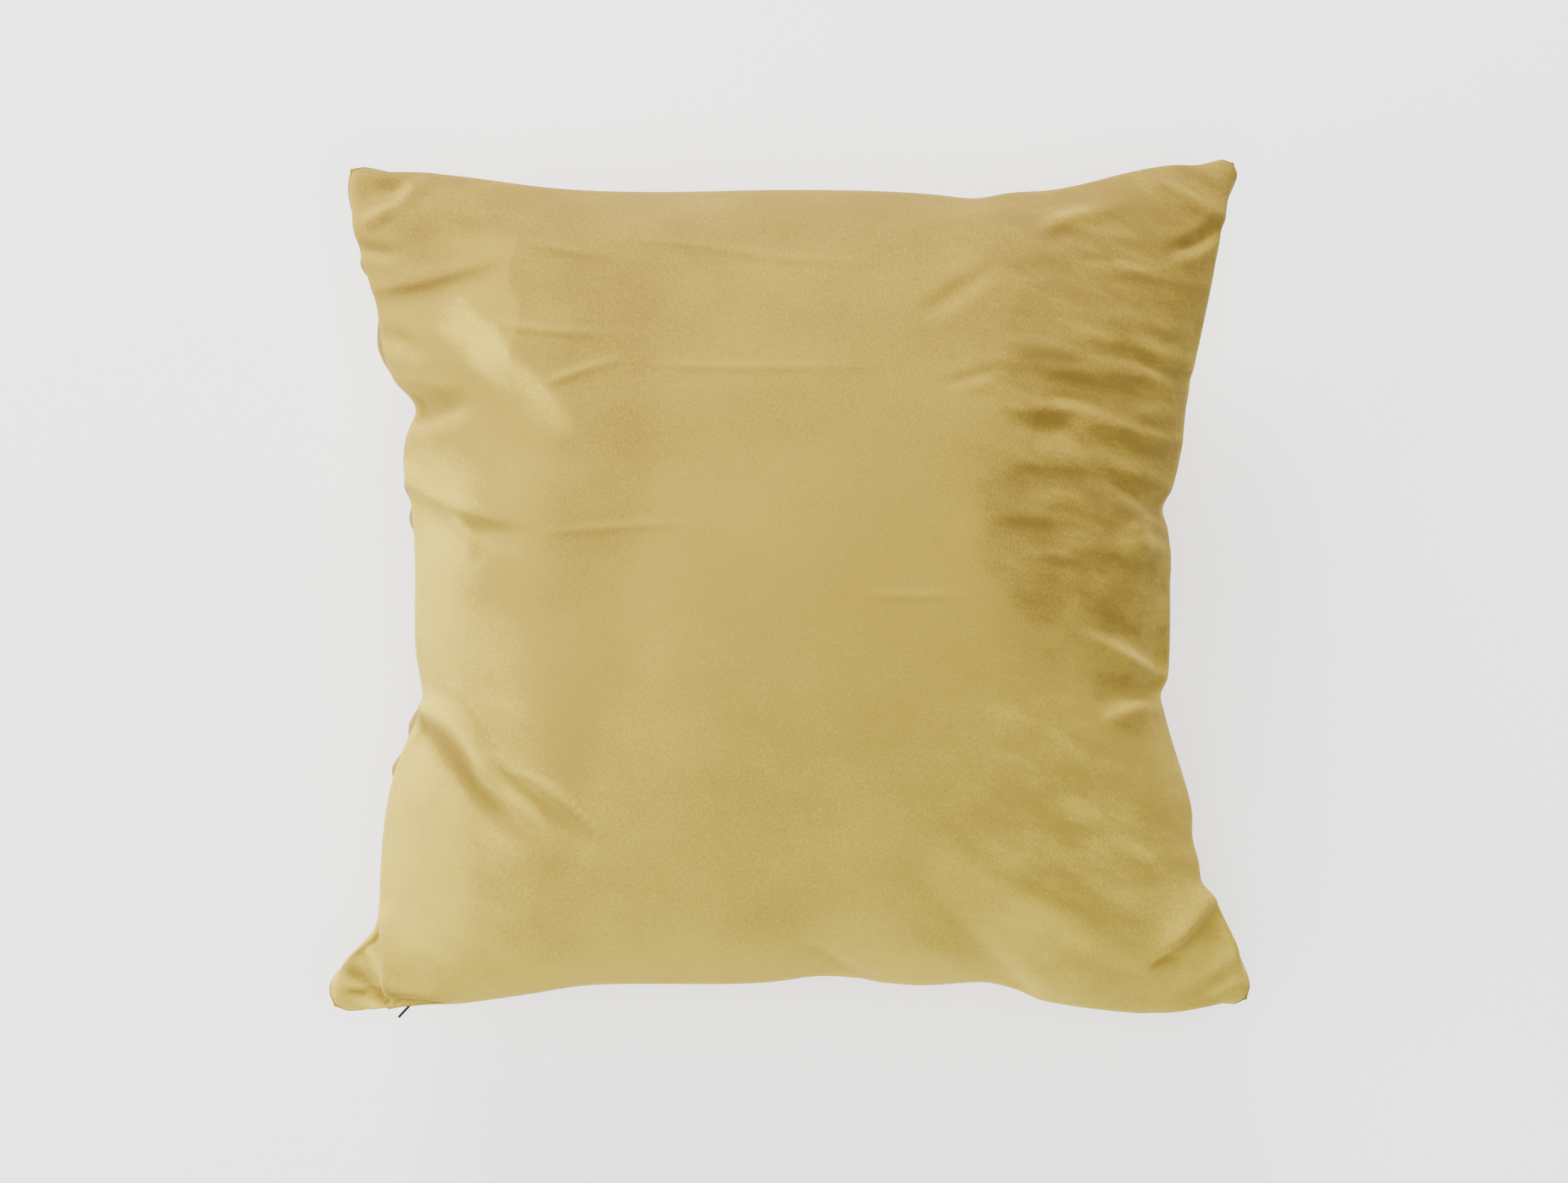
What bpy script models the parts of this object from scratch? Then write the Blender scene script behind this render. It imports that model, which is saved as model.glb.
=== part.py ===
"""Zipped velvet throw pillow lying on its back: cover, seam thread, concealed zip and fibre-filled insert.

Units are metres. +Z points up out of the front panel, +Y towards the pillow's top edge; the floor is z = 0.
"""

import bmesh
import bpy
import numpy as np
from math import cos, pi, radians, sin
from mathutils import Matrix, Vector

# Cover. The outline is the sewn edge seen from above; each edge is a B-spline through hand-placed guides.
SEAM_Z = 0.062
FRONT_RISE = 0.083
BACK_DROP = 0.071
CROWN_POWER = 1.05
SKIRT = 0.0015
FABRIC = 0.001
SEAM_GAP = 0.0003
GRID = 18
TRIM_REACH = 0.4
TRIM_DEPTH = 0.02

BOTTOM_LEFT = (-0.2197, -0.2020)
BOTTOM_RIGHT = (0.2200, -0.1990)
TOP_RIGHT = (0.2134, 0.2039)
TOP_LEFT = (-0.2117, 0.2010)
LEFT_EDGE = (
    BOTTOM_LEFT, (-0.2245, -0.196), (-0.219, -0.181), (-0.205, -0.166), (-0.198, -0.145), (-0.196, -0.115),
    (-0.189, -0.082), (-0.175, -0.055), (-0.181, -0.025), (-0.181, 0.02), (-0.186, 0.055), (-0.181, 0.084),
    (-0.196, 0.110), (-0.201, 0.145), (-0.211, 0.170), (-0.216, 0.194), TOP_LEFT,
)
RIGHT_EDGE = (
    BOTTOM_RIGHT, (0.2245, -0.192), (0.217, -0.170), (0.200, -0.145), (0.193, -0.114), (0.187, -0.082),
    (0.175, -0.052), (0.184, -0.02), (0.184, 0.015), (0.177, 0.036), (0.189, 0.065), (0.196, 0.115),
    (0.206, 0.165), (0.215, 0.194), TOP_RIGHT,
)
TOP_EDGE = (
    TOP_LEFT, (-0.206, 0.205), (-0.190, 0.2005), (-0.140, 0.1945), (-0.094, 0.189), (-0.03, 0.1905),
    (0.05, 0.1905), (0.090, 0.185), (0.120, 0.190), (0.170, 0.202), (0.207, 0.208), TOP_RIGHT,
)

# Zip, straight along X in the bottom seam. Depths are measured from the face of the channel it lies in.
ZIP_FACE_Y = -0.186
ZIP_LEFT, ZIP_RIGHT = -0.179, 0.150
ZIP_FADE = 0.012
CHANNEL_WALL = 0.0045
SLIT = 0.0024
SLIT_DEPTH = 0.01
COIL_LEFT, COIL_RIGHT = -0.176, 0.128
COIL_RADIUS = 0.00085
COIL_SPACING = 0.0032
COIL_DEPTH = 0.0033
TAPE_DEPTH = 0.0017
TAPE_THICKNESS = 0.0005
TAPE_WIDTH = 0.010
TAPE_LEFT, TAPE_RIGHT = -0.1785, 0.140
TAPE_GAP = 0.0020
STOP_LENGTH = 0.0026
STOP_HALF = 0.0011
STOP_INNER_HALF = 0.00099
STOP_GAP = 0.0003
STOP_BEVEL = 0.0002

BOTTOM_EDGE = (
    BOTTOM_LEFT, (-0.214, -0.207), (-0.200, -0.205), (-0.191, -0.203), (-0.1855, -0.195), (-0.182, -0.1855),
    (-0.172, ZIP_FACE_Y), (-0.155, ZIP_FACE_Y), (-0.10, ZIP_FACE_Y), (-0.03, ZIP_FACE_Y), (0.05, ZIP_FACE_Y),
    (0.115, ZIP_FACE_Y), (0.142, ZIP_FACE_Y), (0.152, -0.1855), (0.157, -0.195), (0.167, -0.206),
    (0.190, -0.2055), (0.212, -0.2045), BOTTOM_RIGHT,
)

# The panels bulge over the zip, most towards the corners. Shares run from the middle of a panel to its edge.
FRONT_BULGE = 0.0055
FRONT_BULGE_AT_ENDS = 0.016
BACK_BULGE = 0.006
BULGE_START, BULGE_TOP = 0.5, 0.985
LEFT_GROWTH = (-0.09, -0.165)
RIGHT_GROWTH = (0.08, 0.14)
WALL_RISE = (0.75, 0.97)

# Slider and its pull, at the closed end of the zip.
PIVOT = (-0.171, -0.1887, SEAM_Z)
SLIDER_LENGTH = 0.012
SLIDER_MIDDLE = PIVOT[0] + 0.0025
SLIDER_BACK = 0.0012
SLIDER_CLEARANCE = 0.0004
LIP_CLEARANCE = 0.0003
FLANGE = 0.0008
WEB = 0.0009
WEB_LENGTH = 0.005
WEB_TRIM = 0.01
YOKE_HEIGHT = 0.0052
YOKE_HALF = 0.0012
YOKE_LIP = 0.0008
YOKE_REACH = 0.0009
PLATE_DEPTHS = (-0.0007, -0.0002)
ROOT_DEPTHS = (-0.0004, 0.0006)
ROOT_INSET = (0.0003, 0.00005)
YOKE_OVERLAP = 0.0003
PIN_RADIUS = 0.0005
PIN_INSET = 0.0002
PIN_SIDES, EYE_SIDES = 16, 20
PULL_DIRECTION = radians(227)
PULL_LENGTH = 0.0262
PULL_WIDTH = 0.0056
PULL_NECK = 0.0028
PULL_START, NECK_END, SHOULDER = 0.0008, 0.004, 0.012
SHOULDER_HALF = 0.36 * PULL_WIDTH
TIP_ARC = radians(80)
TIP_POINTS = 13
PULL_THICKNESS = 0.0012
EYE_RADIUS = 0.0015
EYE_BORE = 0.0008

# Insert: a square pad, half widths at the middle of its sides and what its corners add to them.
INSERT_HALF = (0.166, 0.164)
INSERT_EARS = (0.020, 0.010)
INSERT_SLACK = 0.0042
CASING = 0.0006
FILL_SCALE = 0.96
FILL_SLACK = 0.0064
INSERT_GRID = 14

THREAD_RADIUS = 0.0003
COVER_THREAD_REACH = 0.976
THREAD_ENDS = (0.87, 0.93)
INSERT_THREAD_SCALE = 0.985

# Label, placed by shares of the back panel across and up.
LABEL_ACROSS, LABEL_UP = (0.76, 0.95), (-0.16, -0.02)
LABEL_LINES = (7, 4)
LABEL_THICKNESS = 0.0004
LABEL_CLEARANCE = 0.0040

VELVET = (0.49, 0.35, 0.13)
CASING_WHITE = (0.82, 0.81, 0.78)
FIBRE_WHITE = (0.88, 0.88, 0.86)
SATIN_WHITE = (0.85, 0.85, 0.83)
DARK_METAL = (0.03, 0.028, 0.026)
GOLD_TAPE = (0.42, 0.30, 0.12)
GOLD_NYLON = (0.45, 0.33, 0.15)
SHARP_ANGLE = radians(40)


# ---------------------------------------------------------------- helpers

def clear_scene():
    for obj in list(bpy.data.objects):
        bpy.data.objects.remove(obj, do_unlink=True)


def new_collection(name):
    made = bpy.data.collections.new(name)
    bpy.context.scene.collection.children.link(made)
    return made


def material(name, colour, roughness, metallic=0.0):
    made = bpy.data.materials.new(name)
    made.use_nodes = True
    shader = made.node_tree.nodes["Principled BSDF"]
    shader.inputs["Base Color"].default_value = (*colour, 1.0)
    shader.inputs["Roughness"].default_value = roughness
    shader.inputs["Metallic"].default_value = metallic
    made.diffuse_color = (*colour, 1.0)
    return made


def add_object(name, data, look, into):
    made = bpy.data.objects.new(name, data)
    into.objects.link(made)
    if look is not None:
        data.materials.append(look)
    return made


def mesh_of(name, build):
    """A mesh filled by build(bmesh)."""
    bm = bmesh.new()
    build(bm)
    bmesh.ops.recalc_face_normals(bm, faces=bm.faces)
    mesh = bpy.data.meshes.new(name)
    bm.to_mesh(mesh)
    bm.free()
    return mesh


def box_mesh(name, low, high):
    centre = [(a + b) / 2 for a, b in zip(low, high)]
    size = [b - a for a, b in zip(low, high)]
    place = Matrix.Translation(centre) @ Matrix.Diagonal((*size, 1.0))
    return mesh_of(name, lambda bm: bmesh.ops.create_cube(bm, size=1.0, matrix=place))


def bevelled_box(name, low, high, width, look, into):
    made = add_object(name, box_mesh(name, low, high), look, into)
    bevel = made.modifiers.new("rounded_edges", "BEVEL")
    bevel.width = width
    bevel.segments = 2
    return made


def thread(name, points, radius, closed, look, into):
    data = bpy.data.curves.new(name, "CURVE")
    data.dimensions = "3D"
    data.bevel_depth = radius
    data.bevel_resolution = 1
    data.use_fill_caps = True
    spline = data.splines.new("POLY")
    spline.points.add(len(points) - 1)
    for point, place in zip(spline.points, points):
        point.co = (*place, 1.0)
    spline.use_cyclic_u = closed
    return add_object(name, data, look, into)


def boolean(obj, other, operation):
    modifier = obj.modifiers.new(operation.lower() + "_" + other.name, "BOOLEAN")
    modifier.operation = operation
    modifier.object = other
    modifier.solver = "EXACT"


def helper(name, mesh, into):
    """An object used only by the Booleans of others."""
    made = add_object(name, mesh, None, into)
    made.hide_render = True
    made.display_type = "WIRE"
    return made


def cutter(name, low, high, into):
    return helper(name, box_mesh(name, low, high), into)


# ---------------------------------------------------------------- the cover's shape

def b_spline(guides, steps=240):
    """Points of a cubic B-spline that starts and ends on its first and last guides."""
    guides = np.array(guides)
    padded = np.vstack([2 * guides[0] - guides[1], guides, 2 * guides[-1] - guides[-2]])
    places = []
    for t in np.linspace(0, len(guides) - 1 - 1e-9, steps):
        i = int(t)
        f = t - i
        weights = ((1 - f) ** 3, 3 * f**3 - 6 * f**2 + 4, -3 * f**3 + 3 * f**2 + 3 * f + 1, f**3)
        places.append(np.dot(np.array(weights) / 6, padded[i:i + 4]))
    return np.array(places)


class Edge:
    """One side of the outline, read at a share of its length from -1 to 1."""

    def __init__(self, guides):
        self.points = b_spline(guides)
        steps = np.linalg.norm(np.diff(self.points, axis=0), axis=1)
        length = np.concatenate([[0], np.cumsum(steps)])
        self.shares = 2 * length / length[-1] - 1

    def at(self, share):
        return np.array([np.interp(share, self.shares, self.points[:, k]) for k in (0, 1)])


EDGES = {
    "left": Edge(LEFT_EDGE), "right": Edge(RIGHT_EDGE), "bottom": Edge(BOTTOM_EDGE), "top": Edge(TOP_EDGE),
}


def plan(u, v):
    """The place in plan of a point of the cover, u across and v up it, both from -1 to 1: a Coons patch."""
    across, up = (u + 1) / 2, (v + 1) / 2
    left, right = EDGES["left"].at(v), EDGES["right"].at(v)
    bottom, top = EDGES["bottom"].at(u), EDGES["top"].at(u)
    ruled = (1 - across) * left + across * right + (1 - up) * bottom + up * top
    corners = (
        (1 - across) * (1 - up) * EDGES["bottom"].at(-1) + across * (1 - up) * EDGES["bottom"].at(1)
        + (1 - across) * up * EDGES["top"].at(-1) + across * up * EDGES["top"].at(1)
    )
    return ruled - corners


def smooth(low, high, x):
    """0 up to low and 1 past high, with a smooth rise between; low may be the greater of the two."""
    t = min(max((x - low) / (high - low), 0.0), 1.0)
    return t * t * (3 - 2 * t)


def crown(u, v):
    """Share of the full height: 1 in the middle, 0 on the sewn edge."""
    return max((1 - u * u) * (1 - v * v), 0.0) ** (CROWN_POWER / 2)


def near_zip(x):
    """1 along the zip, fading to 0 past its ends."""
    return smooth(ZIP_LEFT - ZIP_FADE, ZIP_LEFT, x) * (1 - smooth(ZIP_RIGHT, ZIP_RIGHT + ZIP_FADE, x))


def wall(x, v):
    """Height of the upright rim: low where the panels are sewn, higher beside the zip."""
    return SKIRT + (CHANNEL_WALL - SKIRT) * near_zip(x) * smooth(*WALL_RISE, -v)


def bulge(x, v, front):
    """How far the panel hangs over the zip, in metres, at a place above the channel."""
    over = smooth(BULGE_START, BULGE_TOP, -v) * smooth(1.0, BULGE_TOP, -v) * near_zip(x)
    if not front:
        return BACK_BULGE * over
    ends = max(smooth(*LEFT_GROWTH, x), smooth(*RIGHT_GROWTH, x))
    return (FRONT_BULGE + (FRONT_BULGE_AT_ENDS - FRONT_BULGE) * ends) * over


def panel_point(u, v, front):
    x, y = plan(u, v)
    y -= bulge(x, v, front)
    height = wall(x, v) + (FRONT_RISE if front else BACK_DROP) * crown(u, v)
    return Vector((x, y, SEAM_Z + height if front else max(SEAM_Z - height, 0.0)))


def shares(count):
    """Grid lines from -1 to 1, closest at the ends, where the surface turns down to the seam."""
    return [sin(pi / 2 * (2 * i / count - 1)) for i in range(count + 1)]


def rim_of(bm):
    return [edge for edge in bm.edges if edge.is_boundary]


def grid_surface(bm, columns, rows, place):
    """A sheet of quads whose corners are place(u, v)."""
    lines = [[bm.verts.new(place(u, v)) for u in columns] for v in rows]
    for low, high in zip(lines, lines[1:]):
        for k in range(len(columns) - 1):
            bm.faces.new((low[k], low[k + 1], high[k + 1], high[k]))


def domed_shell(name, place, count, thickness, front, look, into, cutters):
    """A domed panel with an upright rim, trimmed flat beside the seam."""
    def build(bm):
        grid_surface(bm, shares(count), shares(count), place)
        rim = bmesh.ops.extrude_edge_only(bm, edges=rim_of(bm))["geom"]
        low = SEAM_Z - thickness if front else SEAM_Z + thickness
        for vert in (item for item in rim if isinstance(item, bmesh.types.BMVert)):
            vert.co.z = low

    mesh = mesh_of(name, build)
    if (mesh.polygons[len(mesh.polygons) // 2].normal.z > 0) != front:
        mesh.flip_normals()
    made = add_object(name, mesh, look, into)
    solidify = made.modifiers.new("thickness", "SOLIDIFY")
    solidify.thickness = thickness
    solidify.offset = -1
    boolean(made, cutters["below" if front else "above"], "DIFFERENCE")
    return made


def seam_cutters(into):
    """Boxes that trim the front panel below the seam, the back panel above it, and both beside the zip."""
    reach = TRIM_REACH
    low, high = SEAM_Z - SEAM_GAP / 2, SEAM_Z + SEAM_GAP / 2
    slit_low, slit_high = SEAM_Z - SLIT / 2, SEAM_Z + SLIT / 2
    slit_end = ZIP_FACE_Y + SLIT_DEPTH
    return {
        "below": cutter("trim_below", (-reach, -reach, SEAM_Z - TRIM_DEPTH), (reach, reach, high), into),
        "above": cutter("trim_above", (-reach, -reach, low), (reach, reach, SEAM_Z + TRIM_DEPTH), into),
        "slit": cutter("zip_slit", (ZIP_LEFT, -reach, slit_low), (ZIP_RIGHT, slit_end, slit_high), into),
    }


def make_cover(parts, cutters, velvet, yarn):
    for name, front in (("front_panel", True), ("back_panel", False)):
        panel = domed_shell(
            name, lambda u, v: panel_point(u, v, front), GRID, FABRIC, front, velvet, parts, cutters
        )
        boolean(panel, cutters["slit"], "DIFFERENCE")
    thread("cover_seam_thread", seam_route(), THREAD_RADIUS, False, yarn, parts)


def seam_route():
    """The stitch line from one end of the zip round the three closed sides to the other end."""
    reach = COVER_THREAD_REACH
    run = [reach * share for share in shares(GRID)]
    near, far = THREAD_ENDS
    sides = [(-near, -reach), (-far, -reach)]
    sides += [(-reach, v) for v in run]
    sides += [(u, reach) for u in run[1:]]
    sides += [(reach, -v) for v in run[1:]]
    sides += [(far, -reach), (near, -reach)]
    return [(*plan(u, v), SEAM_Z) for u, v in sides]


# ---------------------------------------------------------------- the insert

def insert_plan(u, v, scale=1.0):
    """The place in plan of a point of the pad, whose corners stand out a little past its sides."""
    x = u * (INSERT_HALF[0] + INSERT_EARS[0] * v * v)
    y = v * (INSERT_HALF[1] + INSERT_EARS[1] * u * u)
    return scale * x, scale * y


def insert_point(u, v, scale, slack, front):
    """A point of the pad inside the cover, lower than the cover by slack."""
    rise = (FRONT_RISE if front else BACK_DROP) - slack
    height = SKIRT + rise * crown(u, v)
    z = SEAM_Z + height if front else max(SEAM_Z - height, slack - SKIRT)
    return Vector((*insert_plan(u, v, scale), z))


def fill_body(name, look, into):
    """The fibre filling as one solid: a front and a back sheet joined round the rim."""
    def build(bm):
        lines = shares(INSERT_GRID)
        for front in (True, False):
            grid_surface(bm, lines, lines, lambda u, v: insert_point(u, v, FILL_SCALE, FILL_SLACK, front))
        bmesh.ops.bridge_loops(bm, edges=rim_of(bm))

    return add_object(name, mesh_of(name, build), look, into)


def insert_seam_route():
    """The closed stitch line just inside the pad's edge."""
    run = shares(INSERT_GRID)
    sides = [(-1, v) for v in run] + [(u, 1) for u in run[1:]]
    sides += [(1, -v) for v in run[1:]] + [(-u, -1) for u in run[1:-1]]
    return [(*insert_plan(u, v, INSERT_THREAD_SCALE), SEAM_Z) for u, v in sides]


def make_insert(parts, cutters, cotton, yarn, fibre):
    for name, front in (("insert_casing_front", True), ("insert_casing_back", False)):
        domed_shell(
            name, lambda u, v: insert_point(u, v, 1.0, INSERT_SLACK, front),
            INSERT_GRID, CASING, front, cotton, parts, cutters,
        )
    fill_body("insert_fill", fibre, parts)
    thread("insert_seam_thread", insert_seam_route(), THREAD_RADIUS, True, yarn, parts)


# ---------------------------------------------------------------- care label

def label_point(u, v):
    """A place just inside the back panel."""
    x, y = plan(u, v)
    depth = SKIRT + BACK_DROP * crown(u, v) - FABRIC - LABEL_CLEARANCE
    return Vector((x, y, SEAM_Z - depth))


def make_label(parts, look):
    columns = np.linspace(*LABEL_ACROSS, LABEL_LINES[0])
    rows = np.linspace(*LABEL_UP, LABEL_LINES[1])
    mesh = mesh_of("care_label", lambda bm: grid_surface(bm, columns, rows, label_point))
    made = add_object("care_label", mesh, look, parts)
    solidify = made.modifiers.new("thickness", "SOLIDIFY")
    solidify.thickness = LABEL_THICKNESS
    solidify.offset = 0


# ---------------------------------------------------------------- zip

def zip_y(depth):
    """The Y of a depth behind the channel's face."""
    return ZIP_FACE_Y + depth


def make_tapes_and_coils(parts, tape, nylon):
    for side, name in ((1, "front"), (-1, "back")):
        low_z, high_z = sorted(SEAM_Z + side * z for z in (TAPE_GAP / 2, TAPE_GAP / 2 + TAPE_WIDTH))
        low = (TAPE_LEFT, zip_y(TAPE_DEPTH), low_z)
        high = (TAPE_RIGHT, zip_y(TAPE_DEPTH + TAPE_THICKNESS), high_z)
        add_object("zipper_tape_" + name, box_mesh("zipper_tape_" + name, low, high), tape, parts)
        z = SEAM_Z + side * COIL_SPACING / 2
        ends = [(x, zip_y(COIL_DEPTH), z) for x in (COIL_LEFT, COIL_RIGHT)]
        thread("zipper_coil_" + name, ends, COIL_RADIUS, False, nylon, parts)


def make_stops(parts, metal):
    """Two stops beside the closed end, one on each coil, and one across both coils at the open end."""
    front_y, back_y = zip_y(COIL_DEPTH) - COIL_RADIUS, zip_y(COIL_DEPTH) + STOP_HALF
    near, far = COIL_LEFT - STOP_GAP, COIL_LEFT - STOP_GAP - STOP_LENGTH
    for side, name in ((1, "front"), (-1, "back")):
        z = SEAM_Z + side * COIL_SPACING / 2
        low, high = (far, front_y, z - STOP_INNER_HALF), (near, back_y, z + STOP_HALF)
        bevelled_box("zipper_top_stop_" + name, low, high, STOP_BEVEL, metal, parts)
    reach = COIL_SPACING / 2 + STOP_HALF
    low = (COIL_RIGHT + STOP_GAP, front_y, SEAM_Z - reach)
    high = (COIL_RIGHT + STOP_GAP + STOP_LENGTH, back_y, SEAM_Z + reach)
    bevelled_box("zipper_bottom_stop", low, high, STOP_BEVEL, metal, parts)


def extruded_profile(name, outline, place, length):
    """A closed flat outline, extruded both ways along its normal and turned into a mesh."""
    data = bpy.data.curves.new(name, "CURVE")
    data.dimensions = "2D"
    data.fill_mode = "BOTH"
    data.extrude = length / 2
    spline = data.splines.new("POLY")
    spline.points.add(len(outline) - 1)
    for point, (x, y) in zip(spline.points, outline):
        point.co = (x, y, 0.0, 1.0)
    spline.use_cyclic_u = True
    curve = bpy.data.objects.new(name, data)
    bpy.context.scene.collection.objects.link(curve)
    curve.matrix_world = place
    bpy.context.view_layer.update()
    mesh = bpy.data.meshes.new_from_object(curve.evaluated_get(bpy.context.evaluated_depsgraph_get()))
    mesh.transform(place)
    bpy.data.objects.remove(curve, do_unlink=True)
    bm = bmesh.new()
    bm.from_mesh(mesh)
    bmesh.ops.remove_doubles(bm, verts=bm.verts, dist=1e-6)
    bmesh.ops.recalc_face_normals(bm, faces=bm.faces)
    bm.to_mesh(mesh)
    bm.free()
    return mesh


def slider_section():
    """The slider's section across the zip, as (depth from the channel face, height from the zip's middle)."""
    back = COIL_DEPTH + COIL_RADIUS + SLIDER_CLEARANCE
    inside = COIL_SPACING / 2 + COIL_RADIUS + SLIDER_CLEARANCE
    outside = inside + FLANGE
    lip = TAPE_DEPTH + TAPE_THICKNESS + LIP_CLEARANCE
    half = WEB / 2
    upper = [(back + SLIDER_BACK, outside), (lip, outside), (lip, inside)]
    upper += [(back, inside), (back, half), (0, half)]
    return upper + [(depth, -height) for depth, height in reversed(upper)]


def cylinder(name, radius, height, sides):
    """A closed upright cylinder about the pivot."""
    def build(bm):
        bmesh.ops.create_cone(
            bm, cap_ends=True, segments=sides, radius1=radius, radius2=radius, depth=height,
            matrix=Matrix.Translation(PIVOT),
        )

    return mesh_of(name, build)


def web_trims():
    """Boxes, by name, that leave the web only as long as the yoke in front of it needs."""
    x, _, z = PIVOT
    half, reach = WEB_LENGTH / 2, SLIDER_LENGTH / 2 + WEB_TRIM
    outside, inside = zip_y(-WEB_TRIM), zip_y(COIL_DEPTH + COIL_RADIUS + SLIDER_CLEARANCE)
    low, high = z - WEB, z + WEB
    return {
        "web_trim_left": ((SLIDER_MIDDLE - reach, outside, low), (x - half, inside, high)),
        "web_trim_right": ((x + half, outside, low), (SLIDER_MIDDLE + reach, inside, high)),
    }


def yoke_pieces():
    """The plate in front of the slit, its root in the web, and the two lips, as boxes by name."""
    x, y, z = PIVOT
    tall = YOKE_HEIGHT / 2
    front, back = (zip_y(depth) for depth in PLATE_DEPTHS)
    root_front, root_back = (zip_y(depth) for depth in ROOT_DEPTHS)
    root_x, root_z = WEB_LENGTH / 2 - ROOT_INSET[0], WEB / 2 - ROOT_INSET[1]
    lip_front, lip_back = y - YOKE_REACH, front + YOKE_OVERLAP
    left, right = x - YOKE_HALF, x + YOKE_HALF
    return {
        "yoke_plate": ((left, front, z - tall), (right, back, z + tall)),
        "yoke_root": ((x - root_x, root_front, z - root_z), (x + root_x, root_back, z + root_z)),
        "yoke_upper": ((left, lip_front, z + tall - YOKE_LIP), (right, lip_back, z + tall)),
        "yoke_lower": ((left, lip_front, z - tall), (right, lip_back, z - tall + YOKE_LIP)),
    }


def make_slider(parts, cutters_into, metal):
    """Slider body inside the cover, its web through the slit, and the yoke and pin that hold the pull."""
    across = Matrix(((0, 0, 1, SLIDER_MIDDLE), (1, 0, 0, ZIP_FACE_Y), (0, 1, 0, SEAM_Z), (0, 0, 0, 1)))
    mesh = extruded_profile("zipper_slider", slider_section(), across, SLIDER_LENGTH)
    body = add_object("zipper_slider", mesh, metal, parts)
    for name, (low, high) in web_trims().items():
        boolean(body, cutter(name, low, high, cutters_into), "DIFFERENCE")
    for name, (low, high) in yoke_pieces().items():
        boolean(body, cutter(name, low, high, cutters_into), "UNION")
    pin = cylinder("yoke_pin", PIN_RADIUS, YOKE_HEIGHT - 2 * PIN_INSET, PIN_SIDES)
    boolean(body, helper("yoke_pin", pin, cutters_into), "UNION")


def pull_outline():
    """Teardrop, as (distance from the pivot, height): a narrow neck that widens to a round end."""
    radius = PULL_WIDTH / 2
    centre = PULL_LENGTH - radius
    neck = PULL_NECK / 2
    tip = [(centre + radius * cos(a), radius * sin(a)) for a in np.linspace(-TIP_ARC, TIP_ARC, TIP_POINTS)]
    lower = [(PULL_START, -neck), (NECK_END, -neck), (SHOULDER, -SHOULDER_HALF)]
    upper = [(distance, -height) for distance, height in reversed(lower)]
    return lower + tip + upper


def make_pull(parts, cutters_into, metal):
    """The pull turns about an upright pin; its flat side holds the pin's direction."""
    swing = Matrix.Translation(PIVOT) @ Matrix.Rotation(PULL_DIRECTION, 4, "Z")
    stand_up = swing @ Matrix.Rotation(radians(90), 4, "X")
    mesh = extruded_profile("zipper_pull", pull_outline(), stand_up, PULL_THICKNESS)
    pull = add_object("zipper_pull", mesh, metal, parts)
    pull.data.transform(Matrix.Translation(-Vector(PIVOT)))
    pull.location = PIVOT
    eye = cylinder("pull_eye", EYE_RADIUS, PULL_NECK, EYE_SIDES)
    bore = cylinder("pull_bore", EYE_BORE, 2 * PULL_NECK, EYE_SIDES)
    boolean(pull, helper("pull_eye", eye, cutters_into), "UNION")
    boolean(pull, helper("pull_bore", bore, cutters_into), "DIFFERENCE")


# ---------------------------------------------------------------- assembly

def main():
    clear_scene()
    parts = new_collection("throw_pillow")
    cutters_into = new_collection("cutters")
    velvet = material("velvet", VELVET, roughness=0.8)
    yarn = material("polyester_thread", GOLD_TAPE, roughness=0.7)
    cotton = material("casing_cotton", CASING_WHITE, roughness=0.85)
    fibre = material("hollow_fibre", FIBRE_WHITE, roughness=0.9)
    tape = material("zip_tape", GOLD_TAPE, roughness=0.8)
    nylon = material("nylon_coil", GOLD_NYLON, roughness=0.45)
    metal = material("dark_metal", DARK_METAL, roughness=0.35, metallic=0.9)
    satin = material("label_satin", SATIN_WHITE, roughness=0.5)
    cutters = seam_cutters(cutters_into)
    make_cover(parts, cutters, velvet, yarn)
    make_insert(parts, cutters, cotton, yarn, fibre)
    make_label(parts, satin)
    make_tapes_and_coils(parts, tape, nylon)
    make_stops(parts, metal)
    make_slider(parts, cutters_into, metal)
    make_pull(parts, cutters_into, metal)
    for obj in parts.objects:
        if obj.type == "MESH":
            obj.data.shade_smooth()
            obj.data.set_sharp_from_angle(angle=SHARP_ANGLE)


main()
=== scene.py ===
"""Looks of the velvet throw pillow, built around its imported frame.

Metres, +Z up; the pillow lies on its back panel with its zip towards -Y.
"""

from math import cos, pi, radians, sin

import bmesh
import bpy
import numpy as np
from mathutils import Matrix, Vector
from mathutils.bvhtree import BVHTree


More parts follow.
